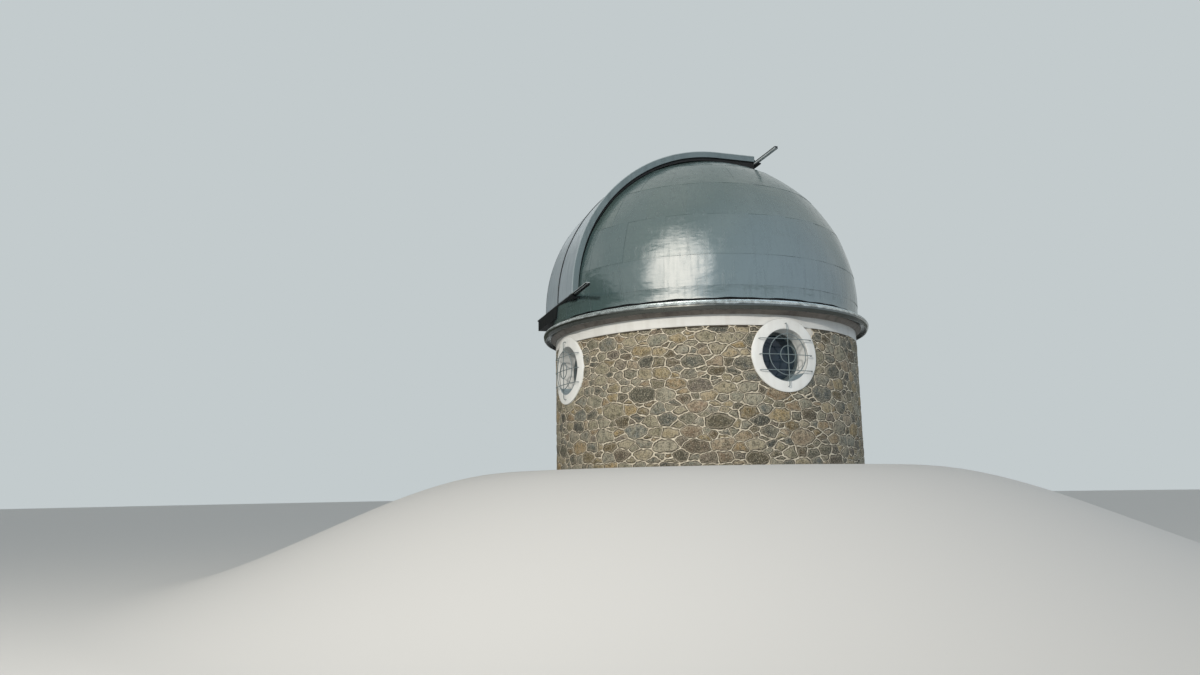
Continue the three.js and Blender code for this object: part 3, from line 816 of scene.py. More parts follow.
total = 0
for key, skin in sorted(skins.items()):
    skin.closed()
    wall = add_piece(f"stones_{key}", skin.verts, skin.faces, [stone, pointing, painted_shadow_joint], "drum",
                     sharp=50, indices=skin.finishes)
    for label, numbers in skin.numbers.items():
        add_numbers(wall, label, numbers)
    total += sum(len(face) - 2 for face in skin.faces)
print("stone pieces:", len(skins), "triangles:", total)

# %% [markdown]
# ## Plaster band and window surrounds
#
# The band is a smooth coat of lime round the top of the wall, with a soft lower edge that throws a thin
# shadow. At each window the ring runs into the band without a step, so the band swells out to meet the ring
# there.

# %% Band
BAND_EDGE = [(0.0003, 0.0), (0.001, 0.55), (0.005, 0.85), (0.012, 1.0)]
EDGE_DEPTH = 0.012
BAND_SWELL = 0.0312
SWELL_WIDTH = 0.13
HIDDEN_INSIDE = 0.018
HIDDEN_SWELL = 0.010
BAND_ROWS = 14
BAND_COLUMNS = 96


def smoothstep(value):
    value = min(max(value, 0.0), 1.0)
    return value * value * (3 - 2 * value)


def window_offset(angle):
    """How far a point is along the wall from the nearest window's middle, in metres."""
    turns = [wrapped(angle - math.radians(degrees), TAU) for degrees in SIDES.values()]
    return min(turns, key=abs) * DRUM_RADIUS


def band_radius(angle, height):
    """The band's face. It swells out to meet a window's ring, and sinks where the ring covers it."""
    distance = math.hypot(window_offset(angle), height - WINDOW_HEIGHT)
    swell = BAND_SWELL * smoothstep((SURROUND + SWELL_WIDTH - distance) / SWELL_WIDTH)
    if distance < SURROUND - HIDDEN_INSIDE:
        swell = HIDDEN_SWELL
    uneven = 0.0018 * math.sin(angle * 23 + height * 9) + 0.0012 * math.sin(angle * 61 - height * 14)
    return BAND_RADIUS + swell + uneven


def band_ends(side):
    """A quarter of the band runs from halfway to one neighbouring window to halfway to the other."""
    here = SIDES[side]
    others = [degrees for degrees in SIDES.values() if degrees != here]
    before = min((here - degrees) % 360 for degrees in others)
    after = min((degrees - here) % 360 for degrees in others)
    return here - before / 2, here + after / 2


edge_top = STONE_TOP + BAND_EDGE[-1][0]
band_heights = [(STONE_TOP + rise, share) for rise, share in BAND_EDGE]
band_heights += [(edge_top + (WALL_TOP - edge_top) * i / BAND_ROWS, 1.0) for i in range(1, BAND_ROWS + 1)]
for side in SIDES:
    start, end = band_ends(side)
    outer, inner = [], []
    for i in range(BAND_COLUMNS + 1):
        angle = math.radians(start + (end - start) * i / BAND_COLUMNS)
        direction = np.array([math.cos(angle), math.sin(angle), 0])
        outer.append([direction * (band_radius(angle, height) - EDGE_DEPTH * (1 - share)) + (0, 0, height)
                      for height, share in band_heights])
        inner.append([direction * WALL_INNER + (0, 0, height) for height, share in band_heights])
    verts, faces = shell(outer, inner)
    add_piece(f"plaster_band_{side}", verts, faces, [plaster], "drum", [f"band_{side}"])
print("band quarters: 4")

# %% [markdown]
# A surround is a flat ring that follows the wall's curve, then turns into the hole as a deep reveal. Its
# section is drawn once as (distance from the window's middle, depth behind the face) and carried round the
# window.

# %% Surrounds
EDGE = 0.010
RING_BACK = 0.0440
RING_PARTS = 128
REVEAL = FACE_RADIUS - FRAME_FACE
QUARTER_TURN = (0.0, 0.5, 1.05, 1.5708)
section = [(HOLE - 0.0003, REVEAL), (OPENING, REVEAL)]
section += [(OPENING, depth) for depth in (0.30, 0.20, 0.10, 0.04, 0.02, EDGE)]
section += [(OPENING + EDGE * (1 - math.cos(t)), EDGE * (1 - math.sin(t))) for t in QUARTER_TURN[1:]]
section += [(OPENING + 0.05 * i, 0.0) for i in (1, 2, 3)]
section += [(SURROUND - EDGE * (1 - math.sin(t)), EDGE * (1 - math.cos(t))) for t in QUARTER_TURN]
section += [(SURROUND, 0.030), (SURROUND, RING_BACK), (HOLE, RING_BACK)]


def surround_points(degrees):
    turn = Matrix.Rotation(math.radians(degrees), 3, "Z")
    verts = []
    for i in range(RING_PARTS):
        angle = TAU * i / RING_PARTS
        for distance, depth in section:
            across, up = distance * math.cos(angle), distance * math.sin(angle)
            ripple = 0.0008 * math.sin(angle * 9 + distance * 20)
            if depth > RING_BACK:
                out = FACE_RADIUS - depth
            else:
                out = math.sqrt((FACE_RADIUS - depth + ripple) ** 2 - across ** 2)
            verts.append(tuple(turn @ Vector((out, across, WINDOW_HEIGHT + up))))
    return verts


ring_faces = looped(len(section), RING_PARTS)
for side, degrees in SIDES.items():
    add_piece(f"plaster_surround_{side}", surround_points(degrees), ring_faces, [limewash], "drum",
              [f"surround_{side}"])
print("surround section points:", len(section))

# %% [markdown]
# ## Windows
#
# Behind the reveal sits a round metal frame with a fixed pane. It is a turned section, like a picture
# frame. The wrought-iron grille stands outside: three level bars, one upright and two rings, welded where
# they cross. The bars' ends turn back into the plaster.

# %% Frames
FRAME_SECTION = [(0.534, 3.0205), (0.534, 3.0740), (0.500, 3.0740), (0.490, 3.0700), (0.484, 3.0560),
                 (0.4565, 3.0540), (0.4552, 3.0500), (0.4552, 3.0450), (0.4565, 3.0380), (0.470, 3.0300),
                 (0.474, 3.0205)]
FRAME_PARTS = 96


def placed(degrees, out, across, up):
    turn = math.radians(degrees)
    x = out * math.cos(turn) - across * math.sin(turn)
    y = out * math.sin(turn) + across * math.cos(turn)
    return (x, y, WINDOW_HEIGHT + up)


def ring_about_window(degrees, profile, parts):
    """A closed (distance, out) profile carried round the window's middle."""
    verts = [placed(degrees, out, distance * math.cos(TAU * i / parts), distance * math.sin(TAU * i / parts))
             for i in range(parts) for distance, out in profile]
    return verts, looped(len(profile), parts)


for side, degrees in SIDES.items():
    verts, faces = ring_about_window(degrees, FRAME_SECTION, FRAME_PARTS)
    add_piece(f"frame_{side}", verts, faces, [frame_paint], "drum", [f"window_frame_{side}"])
print("frames: 4")

# %% Round bars
def tube(points, radius, sides=10, closed=False):
    """A round bar along a line of points."""
    points = [Vector(p) for p in points]
    count = len(points)
    verts = []
    across = None
    for i, point in enumerate(points):
        before = points[i - 1] if i or closed else points[0]
        after = points[(i + 1) % count] if i < count - 1 or closed else points[-1]
        along = (after - before).normalized()
        if across is None:
            across = along.orthogonal().normalized()
        across = (across - along * across.dot(along)).normalized()
        up = along.cross(across)
        for k in range(sides):
            turn = TAU * k / sides
            verts.append(point + (across * math.cos(turn) + up * math.sin(turn)) * radius)
    faces = looped(sides, count)
    if not closed:
        faces = faces[:-sides]
        faces += [tuple(range(sides)), tuple(range((count - 1) * sides, count * sides))]
    return verts, faces


print("round bars ready")

# %% Grilles
GRILLE_RADIUS = 3.5350
BAR = 0.0085
LEVEL_BARS = (-0.31, 0.0, 0.31)
LEVEL_REACH = 0.585
UPRIGHT_REACH = 0.628
FOOT_DEPTH = 0.015
GRILLE_RINGS = ((0.410, 72), (0.172, 40))
BAR_BENDS = [(0.0, 0.040), (0.003, 0.022), (0.010, 0.010), (0.022, 0.002)]


def on_grille(degrees, across, up, sunk=0.0):
    """A point of the grille, which follows the drum's curve. sunk is how far it lies behind its face."""
    out = math.sqrt((GRILLE_RADIUS - sunk) ** 2 - across ** 2)
    return placed(degrees, out, across, up)


def bar_line(reach, plaster_depth):
    """A bar's (along, sunk) points from one foot in the plaster to the other."""
    half = [(reach * i / 8, 0.0) for i in range(1, 8)]
    half += [(reach - short, sunk) for sunk, short in BAR_BENDS] + [(reach, plaster_depth)]
    return [(-along, sunk) for along, sunk in reversed(half)] + [(0.0, 0.0)] + half


def grille(degrees):
    feet = GRILLE_RADIUS - FACE_RADIUS + FOOT_DEPTH
    lines = [[(across, up, sunk) for across, sunk in bar_line(LEVEL_REACH, feet)] for up in LEVEL_BARS]
    lines.append([(0, up, sunk) for up, sunk in bar_line(UPRIGHT_REACH, feet)])
    parts = [tube([on_grille(degrees, *point) for point in line], BAR) for line in lines]
    for radius, steps in GRILLE_RINGS:
        turns = [TAU * i / steps for i in range(steps)]
        circle = [on_grille(degrees, radius * math.cos(t), radius * math.sin(t)) for t in turns]
        parts.append(tube(circle, BAR, closed=True))
    return gathered(parts)


for side, degrees in SIDES.items():
    verts, faces = grille(degrees)
    add_piece(f"grille_{side}", verts, faces, [bar_paint], "drum")
print("grilles: 4, reaching", GRILLE_RADIUS + BAR, "m from the axis")

# %% [markdown]
# A thin painted sheet lines the foot of each reveal, so rain that blows in runs out again. It is bent to
# the hole and ends in a small drip edge over the plaster ring.

# %% Window sills
SILL_SPREAD = 48
SILL_SHEET = 0.003
SILL_STEPS = 24
SILL_START = FRAME_FACE + 0.001
SILL_REACH = FACE_RADIUS + 0.004
DRIP_EDGE = 0.010


def window_sill(degrees):
    outer, inner = [], []
    upper = OPENING - SILL_SHEET
    lower = upper + SILL_SHEET * 0.9
    for i in range(SILL_STEPS + 1):
        turn = math.radians(-90 - SILL_SPREAD + 2 * SILL_SPREAD * i / SILL_STEPS)
        tip = math.sqrt(SILL_REACH ** 2 - (OPENING * math.cos(turn)) ** 2)
        for grid, distance in ((outer, upper), (inner, lower)):
            across, up = distance * math.cos(turn), distance * math.sin(turn)
            grid.append([placed(degrees, out, across, up) for out in (SILL_START, tip - DRIP_EDGE, tip)])
    return shell(outer, inner)


for side, degrees in SIDES.items():
    verts, faces = window_sill(degrees)
    add_piece(f"window_sill_{side}", verts, faces, [sill_paint], "drum")
print("window sills: 4")

# %% [markdown]
# ## Fixed ring and skirt
#
# The fixed ring on the wall is dark metal flashing. The dome's skirt hangs round it like a bell. It is made
# of rolled strips, so its section is turned about the axis. The strips lap, and their edges draw fine lines
# round the dome. Long shallow dents keep the reflections alive, as on hand-rolled metal.

# %% Fixed ring
RING_SECTION = [(3.000, 2.9503), (3.452, 2.9503), (3.452, 2.9450), (3.4610, 2.9450), (3.4640, 2.9465),
                (3.5560, 3.0250), (3.5600, 3.0310), (3.5600, 3.0500), (3.5540, 3.0520), (3.4000, 3.0750),
                (3.4000, 3.1097), (3.3300, 3.1097), (3.3300, 3.0750), (3.0000, 3.0750)]
verts, faces = turned(RING_SECTION, 240)
add_piece("flashing_ring", verts, faces, [flashing], "drum", ["wall_ring"], sharp=25)
print("fixed ring points:", len(verts))

# %% Skirt
SKIRT_STEPS = 720
SKIRT_CURVE_STEPS = 18
SKIRT_FOLDS = 6
FOLD_DEPTH = 0.0075
FOLD_SLOPE = 0.7
SKIRT_EASE = 0.0030
LONG_DENTS = 0.0022
SHORT_DENTS = 0.0008


def dents(point, size):
    """Soft dents in sheet metal, from -1 to 1, about as wide as size metres."""
    return noise.noise(Vector(point) / size) + 0.5 * noise.noise(Vector(point) / size * 2.3)


def curve(start, control, end, steps):
    """A bent line between two points. The control point draws it out."""
    points = []
    for i in range(steps + 1):
        t = i / steps
        weights = ((1 - t) ** 2, 2 * t * (1 - t), t * t)
        points.append(tuple(sum(w * p[k] for w, p in zip(weights, (start, control, end))) for k in (0, 1)))
    return points


def folded(points):
    """The same curve made of lapped strips. Each leans out to its lower edge, which ends in a small step."""
    length = (len(points) - 1) // SKIRT_FOLDS
    result = []
    for i, (radius, height) in enumerate(points):
        if i and i % length == 0:
            result.append((radius, height))
        sink = FOLD_DEPTH * (1 - i % length / length) * FOLD_SLOPE
        result.append((radius - sink, height - sink))
    return result


skirt_section = [(3.3000, 3.2500), (3.4550, 3.2500), (3.4600, 3.2050), (3.4980, 3.2030)]
FACE_START = len(skirt_section)
skirt_section += folded(curve((3.5080, 3.2180), (3.7150, 3.2070), (3.7300, 3.1000), SKIRT_CURVE_STEPS))
skirt_section += [(3.7260, 3.0700), (3.7220, 3.0450), (3.6930, 2.9990)]
FACE_END = len(skirt_section)
skirt_section += [(3.6880, 2.9955), (3.6800, 2.9950), (3.6680, 2.9960), (3.7060, 3.0800), (3.5000, 3.1880),
                  (3.4700, 3.1880), (3.4700, 3.1100), (3.3000, 3.1100)]


def skirt_dents(angle, index):
    """Dents in the outer face of the skirt, longer along it than up it."""
    if not FACE_START < index < FACE_END:
        return 0
    radius, height = skirt_section[index]
    place = (radius * math.cos(angle), radius * math.sin(angle), height * 3.0)
    return LONG_DENTS * dents(place, 0.42) - SKIRT_EASE + SHORT_DENTS * dents(place, 0.13)


verts, faces = turned(skirt_section, SKIRT_STEPS, skirt_dents)
add_piece("skirt_sheets", verts, faces, [skirt_metal], "dome", ["dome_skirt"], sharp=40)
print("skirt reaches", max(math.hypot(v[0], v[1]) for v in verts), "m")

# %% [markdown]
# The lowest sheets of the dome stop a little above the skirt. The gap reads as a black wavy line, and
# behind it a black rubber seal keeps the rain out. The seal's black is painted shade, so the gap reads as
# dark as its shade. The seal is a plain strip, so it is a turned section like the skirt.

# %% Seal behind the gap
SEAL_SECTION = [(3.4300, 3.2502), (3.4560, 3.2502), (3.4612, 3.2085), (3.4680, 3.2085), (3.4680, 3.3080),
                (3.4640, 3.3140), (3.4300, 3.3140)]
verts, faces = turned(SEAL_SECTION, 240)
add_piece("painted_shade_foot_seal", verts, faces, [seal_rubber], "dome", sharp=40)
print("seal points:", len(verts))

# %% [markdown]
# ## Dome sheets
#
# The dome is clad in courses of sheets, bent to the curve and lapped like slates: each course covers the
# top edge of the one below, and each sheet covers one side of its neighbour. Every sheet is made as its own
# thin body with a small lean, a slight hollow and soft dents, because that is what breaks up the
# reflections on the real dome.

# %% Dome sheets
COURSES = [(-6.38, -2.0, 30, -51.5), (-2.0, 8.5, 30, -37.0), (8.5, 24.0, 15, -52.0), (24.0, 40.0, 15, -44.5),
           (40.0, 57.0, 15, -52.0), (57.0, 74.0, 30, -44.5), (74.0, 90.0, 60, -60.0)]
SHEET = 0.004
SHEET_EASE = 0.003
LAP = 0.35
GRID = 1.2
EDGE_LIP = 0.008
FLATNESS = (0.15, 0.40)
HOLLOWS = (-0.0030, 0.0020)
LEANS = (0.0, 0.0010)
WIDE_DENTS = 0.0022
SMALL_DENTS = 0.0007
draw = random.Random(7)


def sheet_body(low, high, left, right, first, lap_height):
    """One lapped sheet between two elevations and two azimuths, in degrees."""
    rows = max(4, int(round((high - low) / GRID)) + 1)
    columns = max(6, int(round((right - left) / GRID)) + 1)
    flatness = (math.radians(high - low) * DOME_RADIUS) ** 2 / (8 * DOME_RADIUS) * draw.uniform(*FLATNESS)
    hollow = draw.uniform(*HOLLOWS)
    lean = draw.uniform(*LEANS)
    shift = draw.uniform(0, 50)
    start = low if first else low - LAP
    outer = np.zeros((rows, columns, 3))
    inner = np.zeros((rows, columns, 3))
    for i in range(rows):
        up = i / (rows - 1)
        for j in range(columns):
            over = j / (columns - 1)
            azimuth = math.radians(left + (right + LAP * 2 - left) * over)
            elevation = math.radians(start + (high - start) * up)
            lift = lap_height * (1 - up + 0.9 * over) + lean - flatness * math.sin(math.pi * up)
            lift += hollow * math.sin(math.pi * up) * math.sin(math.pi * over)
            lift += EDGE_LIP * max(0.0, 1 - up * 3) ** 2 if first else 0.0
            if first and i == 0:
                elevation += math.radians(0.10) * math.sin(azimuth * 19)
                elevation += math.radians(0.07) * math.sin(azimuth * 43 + 1)
            direction = np.array([math.cos(elevation) * math.cos(azimuth),
                                  math.cos(elevation) * math.sin(azimuth), math.sin(elevation)])
            spot = direction * DOME_RADIUS * (1, 1, 2.2) + shift
            dent = WIDE_DENTS * dents(spot, 0.55) + SMALL_DENTS * dents(spot, 0.22)
            lift += dent * math.sin(math.pi * over) ** 0.5
            radius = DOME_RADIUS - SHEET_EASE + lift
            outer[i, j] = direction * radius + (0, 0, DOME_CENTRE)
            inner[i, j] = direction * (radius - SHEET) + (0, 0, DOME_CENTRE)
    return shell(outer, inner)


print("courses of sheets:", len(COURSES))

# %% [markdown]
# The slit is cut out of the sheets with a boolean, as a tinsmith would cut them in place. Only the sheets
# that cross its edge need the cut, and those that lie wholly inside are left off.

# %% Slit
def block(x, y, z, bevel=0.003):
    """A box between two limits along X, Y and Z, with its edges eased."""
    solid = bmesh.new()
    bmesh.ops.create_cube(solid, size=1)
    size = (x[1] - x[0], y[1] - y[0], z[1] - z[0])
    middle = ((x[0] + x[1]) / 2, (y[0] + y[1]) / 2, (z[0] + z[1]) / 2)
    bmesh.ops.scale(solid, vec=size, verts=solid.verts)
    bmesh.ops.translate(solid, vec=middle, verts=solid.verts)
    bmesh.ops.bevel(solid, geom=solid.edges[:], offset=bevel, segments=2, affect="EDGES", profile=0.5)
    solid.verts.index_update()
    made = [tuple(v.co) for v in solid.verts], [tuple(v.index for v in f.verts) for f in solid.faces]
    solid.free()
    return made


def in_slit(point):
    return abs(point[0]) < SLIT_EDGE and point[1] < SLIT_REAR and point[2] > SLIT_FOOT


def cut_open(verts, faces, cutter):
    """The same sheet with the slit cut away."""
    whole = plain_object("whole_sheet", verts, faces)
    faced_out(whole.data)
    cut = whole.modifiers.new("cut", "BOOLEAN")
    cut.operation = "DIFFERENCE"
    cut.solver = "EXACT"
    cut.object = cutter
    bpy.context.view_layer.update()
    result = whole.evaluated_get(bpy.context.evaluated_depsgraph_get()).to_mesh()
    made = [tuple(v.co) for v in result.vertices], [tuple(p.vertices) for p in result.polygons]
    whole.to_mesh_clear()
    bpy.data.objects.remove(whole)
    return made


print("slit from", SLIT_FOOT, "m up, to", SLIT_REAR, "m behind the axis")

# %% Cladding
GORES = ["front_right", "right", "rear_right", "rear_left", "left", "front_left"]
LOW_COURSES = 3
LOW_LAP = 0.0048
HIGH_LAP = 0.0022
SHADE_SPREAD = 0.55
LOW_SHADE = 0.45
cladding = {name: ([], []) for name in GORES}
verts, faces = block((-SLIT_EDGE, SLIT_EDGE), (-5, SLIT_REAR), (SLIT_FOOT, 9), bevel=0.0001)
cutter = plain_object("slit_cutter", verts, faces)
for level, (low, high, width, start) in enumerate(COURSES):
    low_down = level < LOW_COURSES
    for k in range(360 // width):
        left = start + k * width
        lap_height = LOW_LAP if low_down else HIGH_LAP
        verts, faces = sheet_body(low, high, left, left + width, level == 0, lap_height)
        shade = draw.random() * SHADE_SPREAD + (LOW_SHADE if low_down else 0.0)
        inside = [in_slit(v) for v in verts]
        if all(inside):
            continue
        if any(inside) or level == len(COURSES) - 1:
            verts, faces = cut_open(verts, faces, cutter)
        if not faces:
            continue
        gore = GORES[int(((left + width / 2 + 90) % 360) // 60)]
        parts, tones = cladding[gore]
        parts.append((verts, faces))
        tones.extend([shade] * len(faces))
bpy.data.objects.remove(cutter)
for name, (parts, tones) in cladding.items():
    verts, faces = gathered(parts)
    skin = add_piece(f"sheets_{name}", verts, faces, [dome_paint], "dome", [f"skin_{name}"],
                     sharp=30)
    add_numbers(skin, "tone", tones)
    print(skin.name, "sheets:", len(parts), "faces:", len(faces))

# %% [markdown]
# ## Shutters
#
# Each shutter is half of an arched lid. Its sheet follows the dome from the foot of the slit to the top and
# runs on flat to the rear. Lengths of metal lap every metre or so, and the sheet hangs a little between its
# edges. A dark seal strip on one shutter covers the joint in the middle, and a deep flange stiffens the
# outer edge.

# %% Shutter sheets
ARCH_STEPS = 96
FLAT_STEPS = 14
SHUTTER_SHEET = 0.020
SHUTTER_EDGES = (0.003, 1.1287)
EDGE_FOLD = 0.007
SHEET_COLUMNS = 16
LAP_STEPS = 18
LAP_RISE = 0.0045
SAG = 0.0030
SHUTTER_DENTS = 0.0016
EDGE_SINK = 0.002
LIP_DROP = 0.130


def arch_line(radius):
    """(y, z) points from the foot over the top and on to the flat rear end."""
    line = []
    for i in range(ARCH_STEPS + 1):
        angle = math.pi - math.pi / 2 * i / ARCH_STEPS
        line.append((radius * math.cos(angle), SHUTTER_CENTRE + radius * math.sin(angle)))
    line += [(SHUTTER_REAR * i / FLAT_STEPS, SHUTTER_CENTRE + radius) for i in range(1, FLAT_STEPS + 1)]
    return line


def arch_strip(x, outer_radius, inner_radius):
    """A plain strip of metal or rubber that follows the arch between two limits along X."""
    grids = [[[(x[0], y, z), (x[1], y, z)] for y, z in arch_line(radius)]
             for radius in (outer_radius, inner_radius)]
    return shell(*grids)


def shutter_sheet():
    """The sheet, with a lap at each length, a sag between its edges and soft dents."""
    outer_line = arch_line(SHUTTER_RADIUS)
    inner_line = arch_line(SHUTTER_RADIUS - SHUTTER_SHEET)
    low, high = SHUTTER_EDGES
    between = [low + (high - low) * k / SHEET_COLUMNS for k in range(1, SHEET_COLUMNS)]
    xs = [low, low + EDGE_FOLD] + between + [high - EDGE_FOLD, high]
    outer = np.zeros((len(outer_line), len(xs), 3))
    inner = np.zeros_like(outer)
    for i, ((y, z), (v, w)) in enumerate(zip(outer_line, inner_line)):
        lap = LAP_RISE * ((i / LAP_STEPS) % 1.0)
        for j, x in enumerate(xs):
            share = (x - low) / (high - low)
            sag = math.sin(math.pi * share)
            dent = SHUTTER_DENTS + SHUTTER_DENTS * dents((x * 2.2, y, z), 0.45)
            sink = lap + SAG * sag + dent * sag
            if j in (0, len(xs) - 1):
                sink += EDGE_SINK
            scale = (SHUTTER_RADIUS - sink) / SHUTTER_RADIUS
            outer[i, j] = (x, y * scale if y < 0 else y, SHUTTER_CENTRE + (z - SHUTTER_CENTRE) * scale)
            inner[i, j] = (x, v, w)
    return shell(outer, inner)


def rear_lip():
    """The folded edge at the rear end of a shutter's sheet."""
    top = SHUTTER_CENTRE + SHUTTER_RADIUS - 0.005
    return block(SHUTTER_EDGES, (SHUTTER_REAR - 0.010, SHUTTER_REAR), (top - LIP_DROP, top), bevel=0.002)


print("points along a shutter:", len(arch_line(SHUTTER_RADIUS)))

# %% Flanges, brushes and seal
FLANGE_SHEET = 0.012
FLANGE_LIP = 0.018
BRUSH_PLACE = (1.094, 1.104)
BRUSH_TOP = SHUTTER_RADIUS - 0.060
BRUSH_GAP = 0.014
SEAL_PLACE = (-0.032, -0.004)


def shutter_flange():
    """The deep web along the outer edge, with a thin bead at its upper rim and a turned lip below."""
    face = SHUTTER_WIDTH - FLANGE_SHEET
    foot = SHUTTER_RADIUS - FLANGE_DEPTH
    web = arch_strip((face, SHUTTER_WIDTH - 0.003), SHUTTER_RADIUS - 0.001, foot)
    bead = arch_strip((face, SHUTTER_WIDTH), SHUTTER_RADIUS, SHUTTER_RADIUS - 0.016)
    lip = arch_strip((face - 0.004, SHUTTER_WIDTH), foot + FLANGE_LIP, foot)
    return [(web, 0), (bead, 1), (lip, 0)]


def painted_shade_brush(x):
    """A dark strip of bristles inside the flange, which closes the gap down to the dome. Its near-black is
    painted shade under the flange.
    """
    dome_line = math.sqrt(DOME_RADIUS ** 2 - x[1] ** 2) + BRUSH_GAP
    drop = SHUTTER_CENTRE - DOME_CENTRE
    outer, inner = [], []
    for y, z in arch_line(BRUSH_TOP):
        away = Vector((y, z - SHUTTER_CENTRE)).normalized()
        if y < 0:
            radius = -drop * away.y + math.sqrt(dome_line ** 2 - (drop * away.x) ** 2)
            end = (radius * away.x, SHUTTER_CENTRE + radius * away.y)
        else:
            end = (y, max(dome_line ** 2 - y ** 2, 0) ** 0.5 + DOME_CENTRE)
        outer.append([(x[0], y, z), (x[1], y, z)])
        inner.append([(x[0], *end), (x[1], *end)])
    return shell(outer, inner)


def joined(parts):
    """Several ((verts, faces), finish) parts as one, with the finish of each face."""
    verts, faces = gathered([part for part, finish_index in parts])
    indices = [finish_index for (part_verts, part_faces), finish_index in parts for face in part_faces]
    return verts, faces, indices


def sided(part, side):
    """The part as it is on the right, or mirrored for the left."""
    if side == "right":
        return part
    verts, faces = part
    return [(-x, y, z) for x, y, z in verts], [tuple(reversed(f)) for f in faces]


for side in ("right", "left"):
    verts, faces = gathered([sided(shutter_sheet(), side), sided(rear_lip(), side)])
    add_piece(f"sheet_{side}", verts, faces, [shutter_paint], f"shutter_{side}",
              [f"shutter_sheet_{side}"])
    verts, faces, indices = joined([(sided(part, side), index) for part, index in shutter_flange()])
    add_piece(f"flange_{side}", verts, faces, [flange_painted_shade, bead_paint], f"shutter_{side}",
              [f"shutter_flange_{side}"], indices=indices)
for side in ("right", "left"):
    verts, faces = sided(painted_shade_brush(BRUSH_PLACE), side)
    add_piece(f"brush_{side}", verts, faces, [seal_rubber], f"shutter_{side}")
verts, faces = arch_strip(SEAL_PLACE, SHUTTER_RADIUS + 0.012, SHUTTER_RADIUS - 0.004)
add_piece("middle_seal", verts, faces, [seal_rubber], "shutter_left")
print("shutters: 2, with a seal between them")

# %% [markdown]
# ## Rails
#
# The rear rail is a painted steel channel with a dark running bar on top, where the wheels roll. The channel
# is an outline carried along X, because that is how a rolled section is made. A dark stop block closes each
# end, and the rail stands on a plate that rises from the crossbar. The front rail is solid across the foot
# of the slit. Beyond it the rail is a channel with its open side down: a pale plate for the wheels between
# a low dark wall in front and a higher one behind.

# %% Rails
RUNNING_BAR = 0.024
CHANNEL_WALL = 0.008
STOP_BLOCK = 0.090
WEB = ((-1.055, 1.055), (0.9723, 0.9863), (7.0153, 7.0520))
RAIL_SOLID = 1.150
RAIL_WEB = 0.010
RAIL_WALL = 0.012
RAIL_LIP = 0.036
HAIR = 0.001
EASED = 0.002
FINELY_EASED = 0.0015


def prism(outline, x0, x1):
    """A (y, z) outline carried along X."""
    count = len(outline)
    verts = [(x0, y, z) for y, z in outline] + [(x1, y, z) for y, z in outline]
    faces = [(i, (i + 1) % count, count + (i + 1) % count, count + i) for i in range(count)]
    faces += [tuple(range(count)), tuple(range(count, 2 * count))]
    return verts, faces


def rail(low, high):
    """A channel with a running bar on top and a stop block in each end."""
    seat = high[2] - RUNNING_BAR
    wall = CHANNEL_WALL
    channel = [(low[1], low[2]), (low[1], seat), (high[1], seat), (high[1], seat - wall),
               (low[1] + wall, seat - wall), (low[1] + wall, low[2] + wall), (high[1], low[2] + wall),
               (high[1], low[2])]
    blocks = [((low[0], high[0]), (low[1], high[1]), (seat, high[2]))]
    for x in (low[0], high[0] - STOP_BLOCK):
        blocks.append(((x, x + STOP_BLOCK), (low[1] + wall, high[1]), (low[2] + HAIR, seat - HAIR)))
    return [(prism(channel, low[0], high[0]), 0)] + [(block(*limits, bevel=EASED), 1) for limits in blocks]


def channel_rail(low, high):
    """A solid bar in the middle, under one long plate. Past it, two walls hang from the plate."""
    walls = high[2] - 0.002
    plate = block((low[0], high[0]), (low[1], high[1]), (high[2] - RAIL_WEB, high[2]), bevel=FINELY_EASED)
    parts = [(block((-RAIL_SOLID, RAIL_SOLID), (low[1], high[1]), (low[2], walls), bevel=EASED), 1),
             (plate, 0)]
    front = ((low[1] + HAIR, low[1] + RAIL_WALL), (high[2] - RAIL_LIP, walls))
    back = ((high[1] - RAIL_WALL, high[1] - HAIR), (low[2], walls))
    for ends in ((low[0] + HAIR, -RAIL_SOLID), (RAIL_SOLID, high[0] - HAIR)):
        parts += [(block(ends, *wall, bevel=FINELY_EASED), 1) for wall in (front, back)]
    return parts


low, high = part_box("rear_rail")
beam_low = (low[0], low[1], WEB[2][1] - 0.005)
rails = {"front": channel_rail(*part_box("front_rail")),
         "rear": rail(beam_low, high) + [(block(*WEB, bevel=EASED), 1)]}
for end, parts in rails.items():
    verts, faces, indices = joined(parts)
    add_piece(f"{end}_track", verts, faces, [rail_paint, dark_steel], "dome", [f"{end}_rail"],
              sharp=30, indices=indices)

# %% [markdown]
# ## Carried-over solids
#
# The nodes that are already the right shape stay, and get a finish. A node's material is changed through
# its slots, so its mesh stays as the part's source made it.

# %% Finishes for the CAD nodes
NODE_FINISH = {"wall_window": whitewash, "wall_plain": whitewash, "floor": concrete, "window_glass": glass,
               "slit_rib": dome_paint, "slit_sill": dark_steel, "slit_crossbar": dark_steel,
               "rail_bracket": dark_steel, "front_wheels": dark_steel, "rear_wheels": dark_steel}
dressed = 0
for name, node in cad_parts.items():
    for start, material in NODE_FINISH.items():
        if name.startswith(start):
            if not node.material_slots:
                node.data.materials.append(material)
            for slot in node.material_slots:
                slot.material = material
            dressed += 1
print("nodes dressed:", dressed)

# %% [markdown]
# ## Floor, light and camera
#
# The eye is a little lower than the foot of the drum. A flat floor would hide the drum, so the floor is a
# low round mound: level under the building, then falling away.

# %% Floor
FLOOR_DROP = 2.3
LEVEL_REACH_OUT = 4.4
SLOPE_LENGTH = 8.0
SLOPE_RINGS = 24
OUTER_RINGS = [14, 17, 22, 30, 45, 70, 110, 180]
FLOOR_TURNS = 96


def floor_height(distance):
    return -FLOOR_DROP * smoothstep((distance - LEVEL_REACH_OUT) / SLOPE_LENGTH) - 0.001


